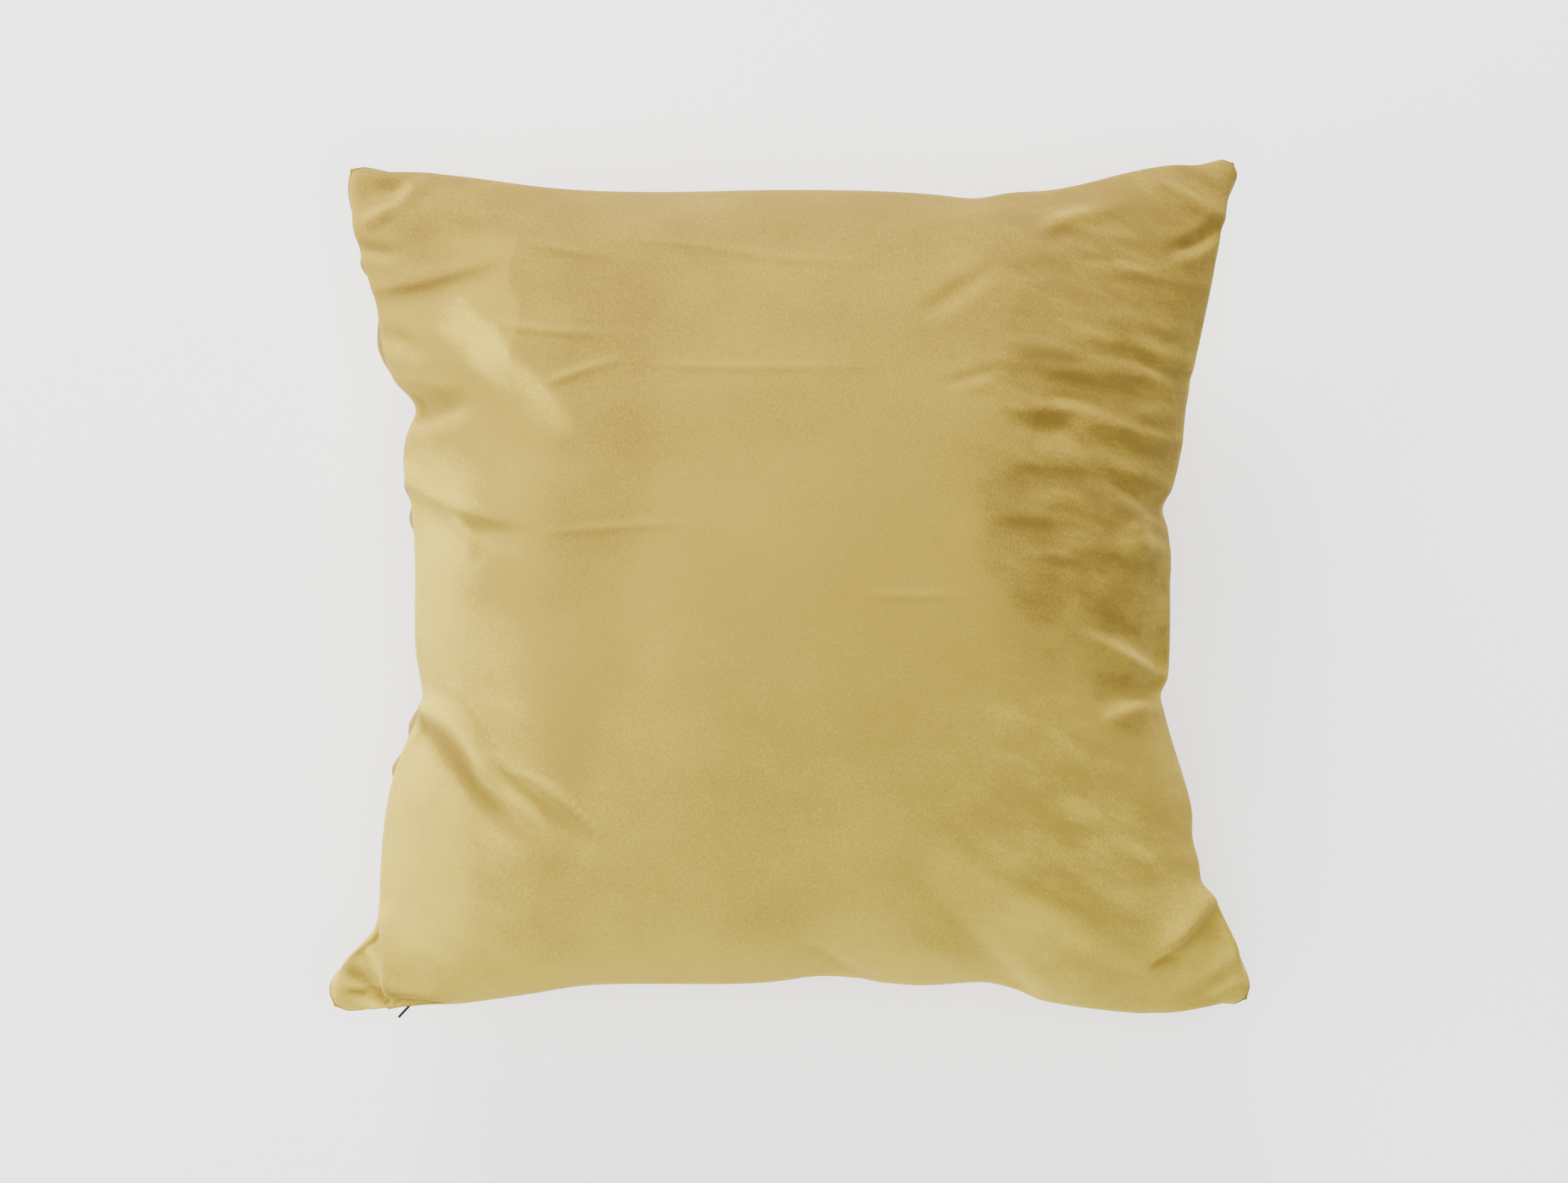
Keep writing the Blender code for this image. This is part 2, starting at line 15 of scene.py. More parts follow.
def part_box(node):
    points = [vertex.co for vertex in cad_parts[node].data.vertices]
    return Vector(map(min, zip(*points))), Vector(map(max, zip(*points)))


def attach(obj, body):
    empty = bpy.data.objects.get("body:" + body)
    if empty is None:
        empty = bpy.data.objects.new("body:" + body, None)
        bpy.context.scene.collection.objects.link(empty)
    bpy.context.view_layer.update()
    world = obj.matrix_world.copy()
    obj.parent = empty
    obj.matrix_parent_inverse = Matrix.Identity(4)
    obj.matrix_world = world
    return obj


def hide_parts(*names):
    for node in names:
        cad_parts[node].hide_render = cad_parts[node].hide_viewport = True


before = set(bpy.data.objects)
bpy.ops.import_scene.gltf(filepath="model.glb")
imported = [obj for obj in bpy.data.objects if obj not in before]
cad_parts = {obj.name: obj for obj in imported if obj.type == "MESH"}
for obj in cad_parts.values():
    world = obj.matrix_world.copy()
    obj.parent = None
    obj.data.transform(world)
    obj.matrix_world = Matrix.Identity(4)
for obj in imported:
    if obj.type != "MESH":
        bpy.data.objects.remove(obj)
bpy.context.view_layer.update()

MM = 0.001

# The plane of the sewn edge, and the zip's channel in the bottom seam.
SEAM_GAP, ZIP_GAP, GAP_REACH = 0.15 * MM, 1.1 * MM, 4 * MM
SEAM_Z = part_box("front_panel")[0].z - SEAM_GAP
FRONT_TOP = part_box("front_panel")[1].z
ZIP_FACE_Y = -186 * MM
ZIP_LEFT, ZIP_RIGHT = -179 * MM, 150 * MM
ZIP_FADE, ZIP_REACH = 3 * MM, 30 * MM
CHANNEL_START = (ZIP_LEFT - 12 * MM, ZIP_LEFT - 8 * MM)
CHANNEL_END = (ZIP_RIGHT, ZIP_RIGHT + 4 * MM)
CHANNEL_HALF, CHANNEL_FADE, CHANNEL_FLARE = 4.6 * MM, 9 * MM, 60 * MM
TAPE_RISE, TAPE_NEAR, TAPE_CLEAR = (12 * MM, 20 * MM), (8 * MM, 16 * MM), 0.2 * MM

# The camera stands straight above the pillow and sees VIEW_WIDTH at the plane of the seam.
CAMERA_HEIGHT, VIEW_WIDTH, SENSOR_WIDTH = 2.0, 755.398 * MM, 36
CAMERA_PLAN = (-3.1 * MM, -2.6 * MM)

# The cut cloth: how it settles, and the finer grids that it is read at.
CUT_SIDE = 0.450
CLOTH_THICKNESS = 0.8 * MM
CROWN_POWER, BACK_DEPTH = 0.52, 71 * MM
SIM_CELLS, SIM_FRAMES = 72, 40
CLOTH_SETTINGS = {
    "quality": 8, "mass": 0.1, "air_damping": 3, "tension_stiffness": 80, "compression_stiffness": 80,
    "shear_stiffness": 15, "bending_stiffness": 0.25, "tension_damping": 8, "compression_damping": 8,
    "vertex_group_mass": "sewn", "use_pressure": True, "uniform_pressure_force": 30,
}
PLAN_ROUNDS = 500
FINE_ROWS, FINE_COLUMNS = 262, 190
HEM_LINES = tuple(MM * s for s in (0.0, 0.4, 0.9, 1.6, 2.5, 3.6))
LINE_SAMPLES, MIDDLE_STRETCH, MIDDLE_FADE = 2000, 3.5, (0.18, 0.34)

# The sewn edge seen from above, in millimetres: guides of a B-spline for each side.
BOTTOM_LEFT, BOTTOM_RIGHT = (-219.9, -202.4), (220.0, -199.0)
TOP_RIGHT, TOP_LEFT = (213.6, 204.0), (-211.9, 201.0)
LEFT_EDGE = (
    BOTTOM_LEFT, (-224.4, -196), (-222, -187), (-216, -181), (-209, -173), (-202, -166), (-198, -158),
    (-198, -145), (-197, -125), (-194.5, -102), (-189, -82), (-182.5, -66), (-176.5, -56),
    (-176.8, -50), (-181.3, -32), (-181, -10), (-180.8, 15), (-183, 38), (-187.2, 58), (-186, 72),
    (-180.6, 83), (-182, 89), (-191, 98), (-196, 110), (-198, 124), (-200.5, 140), (-206, 155),
    (-211, 173), (-216, 192), TOP_LEFT,
)
RIGHT_EDGE = (
    BOTTOM_RIGHT, (223.6, -193), (220, -182), (212, -163), (206, -151), (196.5, -143), (198, -134),
    (192.6, -121), (194.6, -110), (190.5, -95), (184, -75), (179.3, -59), (177.6, -52.5), (184.6, -45),
    (183.6, -25), (183.3, 0), (183.4, 20), (180.6, 31), (179, 37.5), (186, 50), (189.3, 68), (190, 86),
    (195, 108), (199, 126), (203.5, 147), (206.5, 166), (210, 180), (214, 190), (217.5, 199), TOP_RIGHT,
)
TOP_EDGE = (
    TOP_LEFT, (-206, 204.2), (-190, 200), (-165, 198.5), (-142, 195.3), (-114, 191.3), (-80, 189.8),
    (-45, 190), (-15, 191), (20, 191), (50, 190.3), (76, 188.3), (90, 185.8), (104, 190.2), (122, 190),
    (140, 193.3), (160, 199), (180, 203), (200, 204.4), (208, 207.8), TOP_RIGHT,
)
FACE = ZIP_FACE_Y / MM
BOTTOM_EDGE = (
    BOTTOM_LEFT, (-214, -206.6), (-203, -205.2), (-192, -203.5), (-185.5, -196), (-181.5, FACE),
    (-172, FACE), (-150, FACE), (-100, FACE), (-50, FACE), (0, FACE), (50, FACE), (100, FACE),
    (135, FACE), (152, FACE), (157, -196), (164, -205), (176, -207), (193, -205), (207, -201.5),
    (214, -203.6), BOTTOM_RIGHT,
)

# The bottom's outline from straight above, where the front panel hangs out over the zip.
BOTTOM_REACH = (
    (-222, -203), (-205, -205.6), (-192, -205.4), (-183, -204.2), (-170, -202.6), (-156, -200.9),
    (-142, -199), (-121, -196), (-103, -192.6), (-87, -191.6), (-50, -191.8), (-20, -191.9), (0, -190),
    (15, -187.4), (32, -189.6), (48, -191.4), (63, -192.9), (78, -191.6), (92, -189.6), (104, -194),
    (118, -199), (138, -203), (159, -205.2), (176, -206.4), (193, -205), (207, -201.5), (220, -201),
)
REACH = {"left": LEFT_EDGE, "right": RIGHT_EDGE, "top": TOP_EDGE, "bottom": BOTTOM_REACH}

# How the cloth is fitted to the outline, by distance from the seam.
FIT_RISE, FIT_FALL, FIT_ROUNDS = (0.5 * MM, 7 * MM), (26 * MM, 70 * MM), 3
SEAM_TUCK, TUCK_REACH = 2.2 * MM, 6 * MM
EAR_EASE, BOTTOM_EASE = (14 * MM, 34 * MM), (8 * MM, 20 * MM)
EAR_SWELL, EAR_RISE = 2.9 * MM, (0.5 * MM, 5 * MM)
BACK_INSET = 1.6 * MM
# Where the back panel shows past the left seam: place along Y, how far, and half its length, in millimetres.
BACK_BULGES = ((154, 3.2, 6), (115, 3.8, 14), (48, 2.6, 6), (32, 2.6, 6), (-63, 3.6, 8), (-87, 3.2, 6))

# Swells and folds: their heights, and how far from the seam they fade out.
WAVE_COUNT = 14
SWELL, BACK_SWELL = 0.7 * MM, 1.3 * MM
SWELL_SEED, SWELL_WAVES, SWELL_FADE = 11, (0.055, 0.16), (4 * MM, 40 * MM)
FOLD_FADE = (1 * MM, 13 * MM)
FOLD_REACH, STEP_TROUGH, PATH_STEPS = 12, 2.2, 24
BANK_HEIGHT, BANK_PLACE = 0.3, 2
FOLD_START, FOLD_END = (0, 0.3), (0.45, 1.0)

# Ranges of random wrinkles, in millimetres: the gathers by x, y, lean and half length, then the back's by
# start, slant and length.
GATHERS, GATHER_SEED = 44, 7
GATHER_PLACES = ((120, 186), (10, 186), (-0.30, -0.08), (14, 42))
GATHER_BEND, GATHER_HEIGHT, GATHER_WIDTH = (0.4, 1.7), (0.3, 0.8), (2.2, 4.2)
BACK_WRINKLES, WRINKLE_SEED = 60, 19
WRINKLE_ALONG, WRINKLE_DRAW = (-170, 170), 0.9
WRINKLE_RUNS = ((176, 186), (-0.5, 0.5), (16, 60))
WRINKLE_HEIGHT, WRINKLE_WIDTH, WRINKLE_AT_SEAM = (-2.2, -0.8), (2.6, 5.0), 0.5

# Painted light and shade in the velvet's colour: painted light on slopes facing left and shade on those
# facing right, painted sheen at the bottom rim and shade at the top, painted light growing towards the
# bottom, painted shade on the folds' far faces, and a darker tone all over the back.
PAINTED_LIGHT_BY_SLOPE, SLOPE_LIGHT, SLOPE_DARK, DARK_SHARE = 0.45, (0.22, 0.75), (0.3, 0.7), 0.5
PAINTED_SHEEN_AT_BOTTOM, PAINTED_SHADE_AT_TOP, PAINTED_LIGHT_DOWN, STEEP = 0.30, -0.25, 1.35, (0.35, 0.85)
PAINTED_FOLD_SHADE, FOLD_LIGHT, SLOPE_STEP = 0.6, (0.35, 0.94), 0.4 * MM
LIGHT_AND_PILE_CONTRAST, BACK_TONE = 1.2, -0.45
MARK_WANDER, WANDER_WAVES, WANDER_SEEDS = 2.5 * MM, (0.03, 0.09), (3, 5)
BRUSH_START, BRUSH_END, BRUSH_TAPER, BRUSH_NARROWS = (0, 0.15), (0.85, 1), 0.4, (0.5, 1)
# Where the pile is crushed, in millimetres: on the right, less so low down, and a little on the left.
CRUSHED_RIGHT, CRUSHED_LOW, LOW_EASE = (50, 150), (-120, -170), 0.6
CRUSHED_LEFT, LEFT_SHARE = (-150, -90), 0.35

# The insert's pad, its filling and the threads.
PAD_HALF, PAD_EARS = (166 * MM, 163 * MM), (18 * MM, 9 * MM)
PAD_SLACK, PAD_RIM, PAD_BUNCH, PAD_LINES = 4.2 * MM, 0.2 * MM, 0.94, 73
PUCKER, PUCKER_HEIGHT, PUCKER_RISE, PUCKER_FALL = 17 * MM, 1.3 * MM, (0.0, 0.04), (0.06, 0.22)
CASING_THICKNESS = 0.5 * MM
FILL_SCALE, FILL_SLACK, FILL_LINES = 0.965, 2.4 * MM, 61
LUMP, LUMP_SEED, LUMP_WAVES, LUMP_MARGIN = 0.6 * MM, 21, (0.012, 0.03), 4 * MM
# Stitch lines: how far in from the rim, and how many grid lines are skipped at each corner.
COVER_STITCH, COVER_THREAD = (1.9 * MM, 8), 0.3 * MM
INSERT_STITCH, INSERT_THREAD = (1.4 * MM, 3), 0.25 * MM

# The label, by shares of the back panel, and how far it stands off; then the zip.
LABEL_ACROSS, LABEL_UP, LABEL_LINES = (0.88, 0.972), (0.42, 0.492), 40
LABEL_OFF, LABEL_CURL, LABEL_RIPPLE, LABEL_THICKNESS = 1.6, 1.8, 0.25, 0.2 * MM
TAPE_COLUMNS, TAPE_ROWS, TAPE_DEPTH, TAPE_THICKNESS = 220, 12, 0.1 * MM, 0.35 * MM
TAPE_RIPPLES = ((0.10 * MM, 7.8 * MM, 1), (0.06 * MM, 3.1 * MM, 0))
COIL_PITCH, COIL_WIRE, COIL_STEPS = 1.4 * MM, 0.24 * MM, 14
# No wire runs along WIRE_UPRIGHT.
WIRE_SIDES, WIRE_UPRIGHT = 6, (0.31, 0.17, 0.93)

# The pile's colours from dark to light, which also carry the painted light and shade, and each pattern's
# share in them.
PILE_COLOURS = ((0.240, 0.155, 0.028), (0.418, 0.290, 0.039), (0.680, 0.516, 0.064))
MOTTLE_SHARE, MARK_SHARE, GRAIN_SHARE, LIGHT_AND_PILE_SHARE = 0.30, 0.9, 0.7, 0.5

# Lights as name, place, target, size and watts; then the floor and the world.
LIGHTS = (
    ("softbox_top", (-0.5, 2.3, 1.0), (0, 0, 0.05), (1.0, 0.7), 120),
    ("window_left", (-2.2, -0.1, 0.95), (0, 0, 0.05), (1.2, 1.6), 52),
    ("ceiling", (0.1, -0.3, 2.6), (0, 0, 0), (1.6, 1.6), 54),
)
FLOOR_SIZE, FLOOR_GLOW, FLOOR_DROP, WORLD_GLOW = 40, 1.3, 0.5 * MM, 0.35

# Folds seen from above, in millimetres: kind, height, half width, how strong they start and end, and path.
# A step is higher on the left of its path than on the right.
FOLDS = (
    # top left ear and upper left
    ("ridge", 3.0, 4.0, 0.5, 0.3, ((-203, 176), (-190, 184), (-174, 197))),
    ("step", 0.8, 2.8, 0.6, 0, ((-200, 141), (-170, 146), (-130, 160))),
    ("ridge", 0.9, 2.2, 0, 0, ((-130, 166), (-104, 161), (-74, 157))),
    ("ridge", 0.6, 2.2, 0, 0, ((-104, 168), (-39, 165), (-12, 157), (76, 155))),
    ("ridge", 0.7, 2.4, 0, 0, ((-150, 128), (-110, 121), (-70, 122))),
    ("ridge", 1.1, 2.3, 0, 0, ((-122, 96), (-98, 105), (-74, 112))),
    ("ridge", 0.45, 2.1, 0, 0, ((-82, 107), (-10, 105), (66, 106))),
    ("ridge", 0.5, 2.1, 0, 0, ((-126, 25), (-80, 29), (-36, 31))),
    ("ridge", 0.4, 2.1, 0, 0, ((30, -4), (62, -5), (95, -4))),
    ("valley", 1.4, 3.0, 0.8, 0, ((-210, 164), (-198, 160), (-184, 158))),
    # left edge, the pinch above the middle
    ("step", 1.3, 2.8, 0.9, 0, ((-186, 48), (-168, 38), (-150, 31), (-120, 27))),
    ("ridge", 2.2, 3.4, 0.2, 0, ((-166, 36), (-151, 20), (-158, 8))),
    ("valley", 2.6, 5.0, 1.0, 0, ((-188, 88), (-172, 84), (-150, 88))),
    ("valley", 1.6, 4.0, 0.6, 0, ((-194, 120), (-184, 118), (-176, 106))),
    # left edge, the kink below the middle
    ("step", 2.7, 2.9, 1.0, 0, ((-184, -57), (-169, -70), (-150, -92), (-120, -124))),
    ("ridge", 2.0, 3.2, 0, 0, ((-166, -42), (-152, -62), (-144, -82))),
    ("ridge", 2.2, 7.0, 0, 0.2, ((-160, 128), (-130, 94), (-104, 66), (-97, 56))),
    ("step", 1.5, 2.3, 0, 0, ((-146, -80), (-119, -102), (-84, -127))),
    # bottom left ear, tucked under the bulge above it
    ("step", 2.6, 2.6, 0, 0.9, ((-198.5, -150), (-198, -168), (-198, -182), (-195, -196))),
    ("step", 2.4, 2.2, 0.9, 0, ((-198, -196.5), (-180, -198.5), (-152, -202))),
    ("ridge", 2.2, 2.6, 0.2, 0.4, ((-207, -170), (-201, -184), (-196, -193))),
    ("valley", 2.6, 3.0, 0.3, 0.6, ((-215, -186), (-206, -192), (-197, -197))),
    # right edge
    ("ridge", 3.4, 4.2, 0, 0, ((114, 168), (136, 178), (170, 185))),
    ("ridge", 3.2, 3.8, 0, 0.3, ((170, 198), (188, 190), (207, 178))),
    ("valley", 2.0, 3.4, 0.9, 0, ((205, 172), (196, 164), (176, 160))),
    ("valley", 1.5, 3.8, 0, 0, ((61, 127), (84, 145), (105, 158))),
    ("valley", 0.8, 2.6, 0, 0, ((73, 96), (88, 101), (104, 106))),
    ("ridge", 1.8, 4.0, 0, 0, ((164, 32), (175, 14))),
    ("valley", 2.8, 4.2, 0.9, 0, ((186, 36), (168, 44), (140, 60))),
    ("valley", 1.6, 3.4, 0.6, 0, ((196, 98), (180, 104), (150, 118))),
    ("step", 1.6, 3.2, 0.7, 0, ((186, -45), (157, -27), (134, -19))),
    ("step", 2.0, 3.2, 1.0, 0, ((183, -52), (168, -54), (146, -66))),
    # bottom, and the right ear
    ("valley", 3.2, 6.5, 0, 0.9, ((52, -132), (79, -164), (110, -196))),
    ("valley", 2.0, 3.6, 0.4, 0.9, ((6, -172), (18, -182), (36, -190))),
    ("valley", 4.4, 8.0, 0, 0.6, ((106, -138), (139, -161), (177, -183))),
    ("step", 2.8, 3.4, 0, 0.6, ((170, -187), (190, -172), (200, -160), (209, -148))),
    ("ridge", 2.6, 4.0, 0.2, 0.4, ((183, -197), (198, -190), (213, -181))),
    ("ridge", 1.6, 2.6, 0.2, 0.4, ((200, -200), (217, -191))),
)
# Hollows: place, size across and up, and depth, in millimetres.
HOLLOWS = (
    (-193, 190, 9, 6.5, 5.0),
    (176, -52, 7, 6, 3.0),
    (-180, 84, 9, 9, 2.5),
    (15, -184, 12, 10, 1.5),
)
# Brush marks in the pile, with painted light and shade among them, in millimetres: strength (light above 0),
# half width, fade of the left and of the right edge, and path.
BRUSH_AND_LIGHT_MARKS = (
    # light marks on the left: partly brushed pile, partly painted light on the side facing the light
    (0.60, 15, 6, 14, ((-168, 138), (-150, 112), (-130, 92), (-105, 66))),
    (0.34, 24, 2.4, 22, ((-155, 176), (-157, 150), (-150, 112), (-146, 96))),
    (0.38, 28, 22, 28, ((-176, 72), (-172, 20), (-174, -50))),
    (0.36, 28, 14, 28, ((-180, -84), (-174, -130), (-172, -190))),
    (-0.16, 14, 10, 10, ((-150, 14), (-128, -10), (-118, -34))),
    (-0.24, 36, 24, 26, ((-84, 190), (-90, 100), (-96, 0), (-112, -90), (-124, -190))),
    # painted shadow under the kink fold, then painted highlights along its crest and along the crest of the
    # step below it
    (-0.55, 6.5, 2.2, 7, ((-181, -66), (-163, -84), (-146, -103), (-124, -127))),
    (0.55, 3.4, 2.6, 2.6, ((-175, -57), (-160, -73), (-146, -88), (-118, -120))),
    (0.30, 2.8, 2.2, 2.2, ((-140, -82), (-117, -99), (-88, -121))),
    # dark marks on the right: partly crushed pile, partly painted shade on the side away from the light
    (-0.38, 62, 50, 50, ((138, 220), (142, 120), (140, 60), (132, 0), (142, -70))),
    (-0.20, 34, 28, 28, ((160, 80), (168, 0), (160, -60), (176, -130))),
    (-0.30, 24, 14, 16, ((98, 62), (108, 20), (122, -24))),
    (-0.16, 20, 12, 14, ((120, -110), (150, -140), (186, -170))),
    (0.24, 20, 12, 14, ((60, -128), (96, -158), (130, -186))),
    # a painted highlight along the step fold on the right
    (0.30, 9, 5, 6, ((150, -30), (172, -42))),
)

# ---- shape helpers


def b_spline(guides, steps=600):
    """Points of a cubic B-spline that starts and ends on its first and last guides."""
    guides = np.array(guides, float)
    padded = np.vstack([2 * guides[0] - guides[1], guides, 2 * guides[-1] - guides[-2]])
    t = np.linspace(0, len(guides) - 1 - 1e-9, steps)
    i = t.astype(int)
    f = (t - i)[:, None]
    weights = ((1 - f) ** 3, 3 * f**3 - 6 * f**2 + 4, -3 * f**3 + 3 * f**2 + 3 * f + 1, f**3)
    return sum(w * padded[i + k] for k, w in enumerate(weights)) / 6


def side(guides):
    """A function from a share of the side's length, -1 to 1, to places in plan, in metres."""
    line = b_spline(guides) * MM
    length = np.concatenate([[0], np.cumsum(np.linalg.norm(np.diff(line, axis=0), axis=1))])
    share = 2 * length / length[-1] - 1
    return lambda s: np.stack([np.interp(s, share, line[:, k]) for k in (0, 1)], -1)


EDGES = {"left": LEFT_EDGE, "right": RIGHT_EDGE, "bottom": BOTTOM_EDGE, "top": TOP_EDGE}
SIDES = {name: side(guides) for name, guides in EDGES.items()}


def smooth(low, high, x):
    """Rises from 0 at low to 1 at high; low may be the larger of the two."""
    t = np.clip((x - low) / (high - low), 0.0, 1.0)
    return t * t * (3 - 2 * t)


def relax(grid, rounds):
    """Averages each inner point with its neighbours."""
    grid = grid.copy()
    for _ in range(rounds):
        inner = (grid[:-2, 1:-1] + grid[2:, 1:-1] + grid[1:-1, :-2] + grid[1:-1, 2:]) / 4
        grid[1:-1, 1:-1] = inner
    return grid


def plan(u, v):
    """Places in plan for grids u and v from -1 to 1: a Coons patch inside the sewn edge, relaxed."""
    a, b = (u + 1)[..., None] / 2, (v + 1)[..., None] / 2
    ends = np.array(-1.0), np.array(1.0)
    bottom_left, bottom_right = (SIDES["bottom"](end) for end in ends)
    top_left, top_right = (SIDES["top"](end) for end in ends)
    ruled = (1 - a) * SIDES["left"](v) + a * SIDES["right"](v)
    ruled = ruled + (1 - b) * SIDES["bottom"](u) + b * SIDES["top"](u)
    corners = (
        (1 - a) * (1 - b) * bottom_left + a * (1 - b) * bottom_right
        + (1 - a) * b * top_left + a * b * top_right
    )
    return relax(ruled - corners, PLAN_ROUNDS)


def refine(grid, rows, columns):
    """Reads a grid of points at finer rows and columns, all from 0 to 1, with Catmull-Rom curves."""
    for axis, lines in enumerate((rows, columns)):
        grid = np.moveaxis(grid, axis, 0)
        n = len(grid) - 1
        t = lines * n
        i = np.clip(t.astype(int), 0, n - 1)
        f = (t - i)[:, None, None]
        padded = np.concatenate([2 * grid[:1] - grid[1:2], grid, 2 * grid[-1:] - grid[-2:-1]])
        p0, p1, p2, p3 = (padded[i + k] for k in range(4))
        grid = p1 + 0.5 * f * (p2 - p0 + f * (2 * p0 - 5 * p1 + 4 * p2 - p3 + f * (3 * (p1 - p2) + p3 - p0)))
        grid = np.moveaxis(grid, 0, axis)
    return grid


def quads_of(ids):
    """The faces between the rows and columns of a grid of point numbers."""
    return np.stack([ids[:-1, :-1], ids[:-1, 1:], ids[1:, 1:], ids[1:, :-1]], -1).reshape(-1, 4)


def normals_of(grid):
    """Unit normals of a grid of points, up on a front panel."""
    du, dv = np.gradient(grid, axis=1), np.gradient(grid, axis=0)
    n = np.cross(du, dv)
    return n / np.maximum(np.linalg.norm(n, axis=-1, keepdims=True), 1e-12)


def seen(grid):
    """Where a camera straight above sees each point, measured on the plane of the seam."""
    centre = np.array(CAMERA_PLAN)
    scale = CAMERA_HEIGHT / (CAMERA_HEIGHT - (grid[..., 2] - SEAM_Z))
    return (grid[..., :2] - centre) * scale[..., None] + centre


# ---- inflating the cover

def formed_panels():
    """Front and back panels as grids of points [row, column], before the cloth settles."""
    t = np.linspace(-1, 1, SIM_CELLS + 1)
    u, v = np.meshgrid(t, t)
    xy = plan(u, v)
    crown = np.maximum((1 - u * u) * (1 - v * v), 0) ** CROWN_POWER
    front = np.dstack([xy, SEAM_Z + (FRONT_TOP - SEAM_Z) * crown])
    back = np.dstack([xy, np.maximum(SEAM_Z - BACK_DEPTH * crown, 0.0)])
    return front, back


def add_cloth(made, cut, sewn):
    """A cloth modifier that rests in the shape cut, with the sewn points held still."""
    made.shape_key_add(name="formed")
    key = made.shape_key_add(name="cut")
    key.data.foreach_set("co", cut.astype(np.float32).ravel())
    key.value = 0.0
    made.vertex_groups.new(name="sewn").add([int(i) for i in sewn], 1.0, "ADD")
    modifier = made.modifiers.new("inflate", "CLOTH")
    for name, value in CLOTH_SETTINGS.items():
        setattr(modifier.settings, name, value)
    modifier.settings.rest_shape_key = key
    modifier.settings.effector_weights.gravity = 0.0
    modifier.collision_settings.use_collision = False
    modifier.collision_settings.use_self_collision = False


def settle(made, count):
    """Runs the cloth, reads where its points come to rest, and removes it."""
    for number in range(1, SIM_FRAMES + 1):
        bpy.context.scene.frame_set(number)
    settled = made.evaluated_get(bpy.context.evaluated_depsgraph_get()).to_mesh()
    places = np.empty(count * 3, np.float32)
    settled.vertices.foreach_get("co", places)
    bpy.data.objects.remove(made, do_unlink=True)
    return places.reshape(-1, 3).astype(float)


def inflate(front, back):
    """Lets both panels settle as cloth cut to CUT_SIDE, sewn at their rims and blown out by the filling."""
    n = SIM_CELLS + 1
    inner = np.zeros((n, n), bool)
    inner[1:-1, 1:-1] = True
    ids_front = np.arange(n * n).reshape(n, n)
    ids_back = ids_front.copy()
    ids_back[inner] = n * n + np.arange(inner.sum())
    t = np.linspace(-CUT_SIDE / 2, CUT_SIDE / 2, n)
    x, y = np.meshgrid(t, t)
    flat = np.dstack([x, y, np.full_like(x, SEAM_Z)])
    points = np.vstack([front.reshape(-1, 3), back[inner]])
    cut = np.vstack([flat.reshape(-1, 3), flat[inner]])
    faces = np.vstack([quads_of(ids_front), quads_of(ids_back)[:, ::-1]])
    made = new_object("cover_cloth", points, faces)
    add_cloth(made, cut, ids_front[~inner])
    places = settle(made, len(points))
    return places[ids_front], places[ids_back]


# ---- fitting the outline

def cloth_lines(count, stretch=1.0):
    """Lines of a fine grid as shares of the cut side: closest at the seam, stretch times wider half way."""
    hem = np.array(HEM_LINES) / CUT_SIDE
    first = 2 * hem[-1] - hem[-2]
    share = np.linspace(first, 1 - first, LINE_SAMPLES)
    density = 1 / (1 + (stretch - 1) * (1 - smooth(*MIDDLE_FADE, np.abs(share - 0.5))))
    passed = np.cumsum(density) - density[0]
    middle = np.interp(np.linspace(0, passed[-1], count - 2 * len(hem)), passed, share)
    return np.concatenate([hem, middle, 1 - hem[::-1]])


def room_beside(lines):
    """How far each line is from the nearer end of the cut side, in metres."""
    return np.minimum(lines, 1 - lines) * CUT_SIDE


def outline(name):
    """The outline of one side, as places along it and its reach out from the middle, both rising."""
    axis = 1 if name in ("left", "right") else 0
    line = b_spline(REACH[name]) * MM
    order = np.argsort(line[:, axis], kind="stable")
    return line[order, axis], line[order, 1 - axis]


def fit_outline(grid, name, rows, columns, ease, inset=0.0, bulges=()):
    """Moves the cloth beside one side so that, from straight above, it reaches that side's outline."""
    upright = name in ("left", "right")
    sign = 1.0 if name in ("right", "top") else -1.0
    if upright:
        grid = grid.transpose(1, 0, 2)
    axis, across = (1, 0) if upright else (0, 1)
    inward, along_side = (columns, rows) if upright else (rows, columns)
    out = (1 - inward if sign > 0 else inward) * CUT_SIDE
    weight = smooth(*FIT_RISE, out) * (1 - smooth(*FIT_FALL, out))
    weight = weight[:, None] * smooth(*ease, room_beside(along_side))
    places, reach = outline(name)
    band = np.flatnonzero((out > FIT_RISE[1] / 3) & (out < FIT_FALL[1]))
    for _ in range(FIT_ROUNDS):
        view = seen(grid[band])
        furthest = np.argmax(sign * view[..., across], axis=0)
        edge, along = (np.take_along_axis(view[..., k], furthest[None], 0)[0] for k in (across, axis))
        wanted = np.interp(along, places, reach) - sign * inset
        for place, height, width in bulges:
            wanted = wanted + sign * height * MM * np.exp(-(((along - place * MM) / (width * MM)) ** 2))
        grid[..., across] += weight * (wanted - edge)


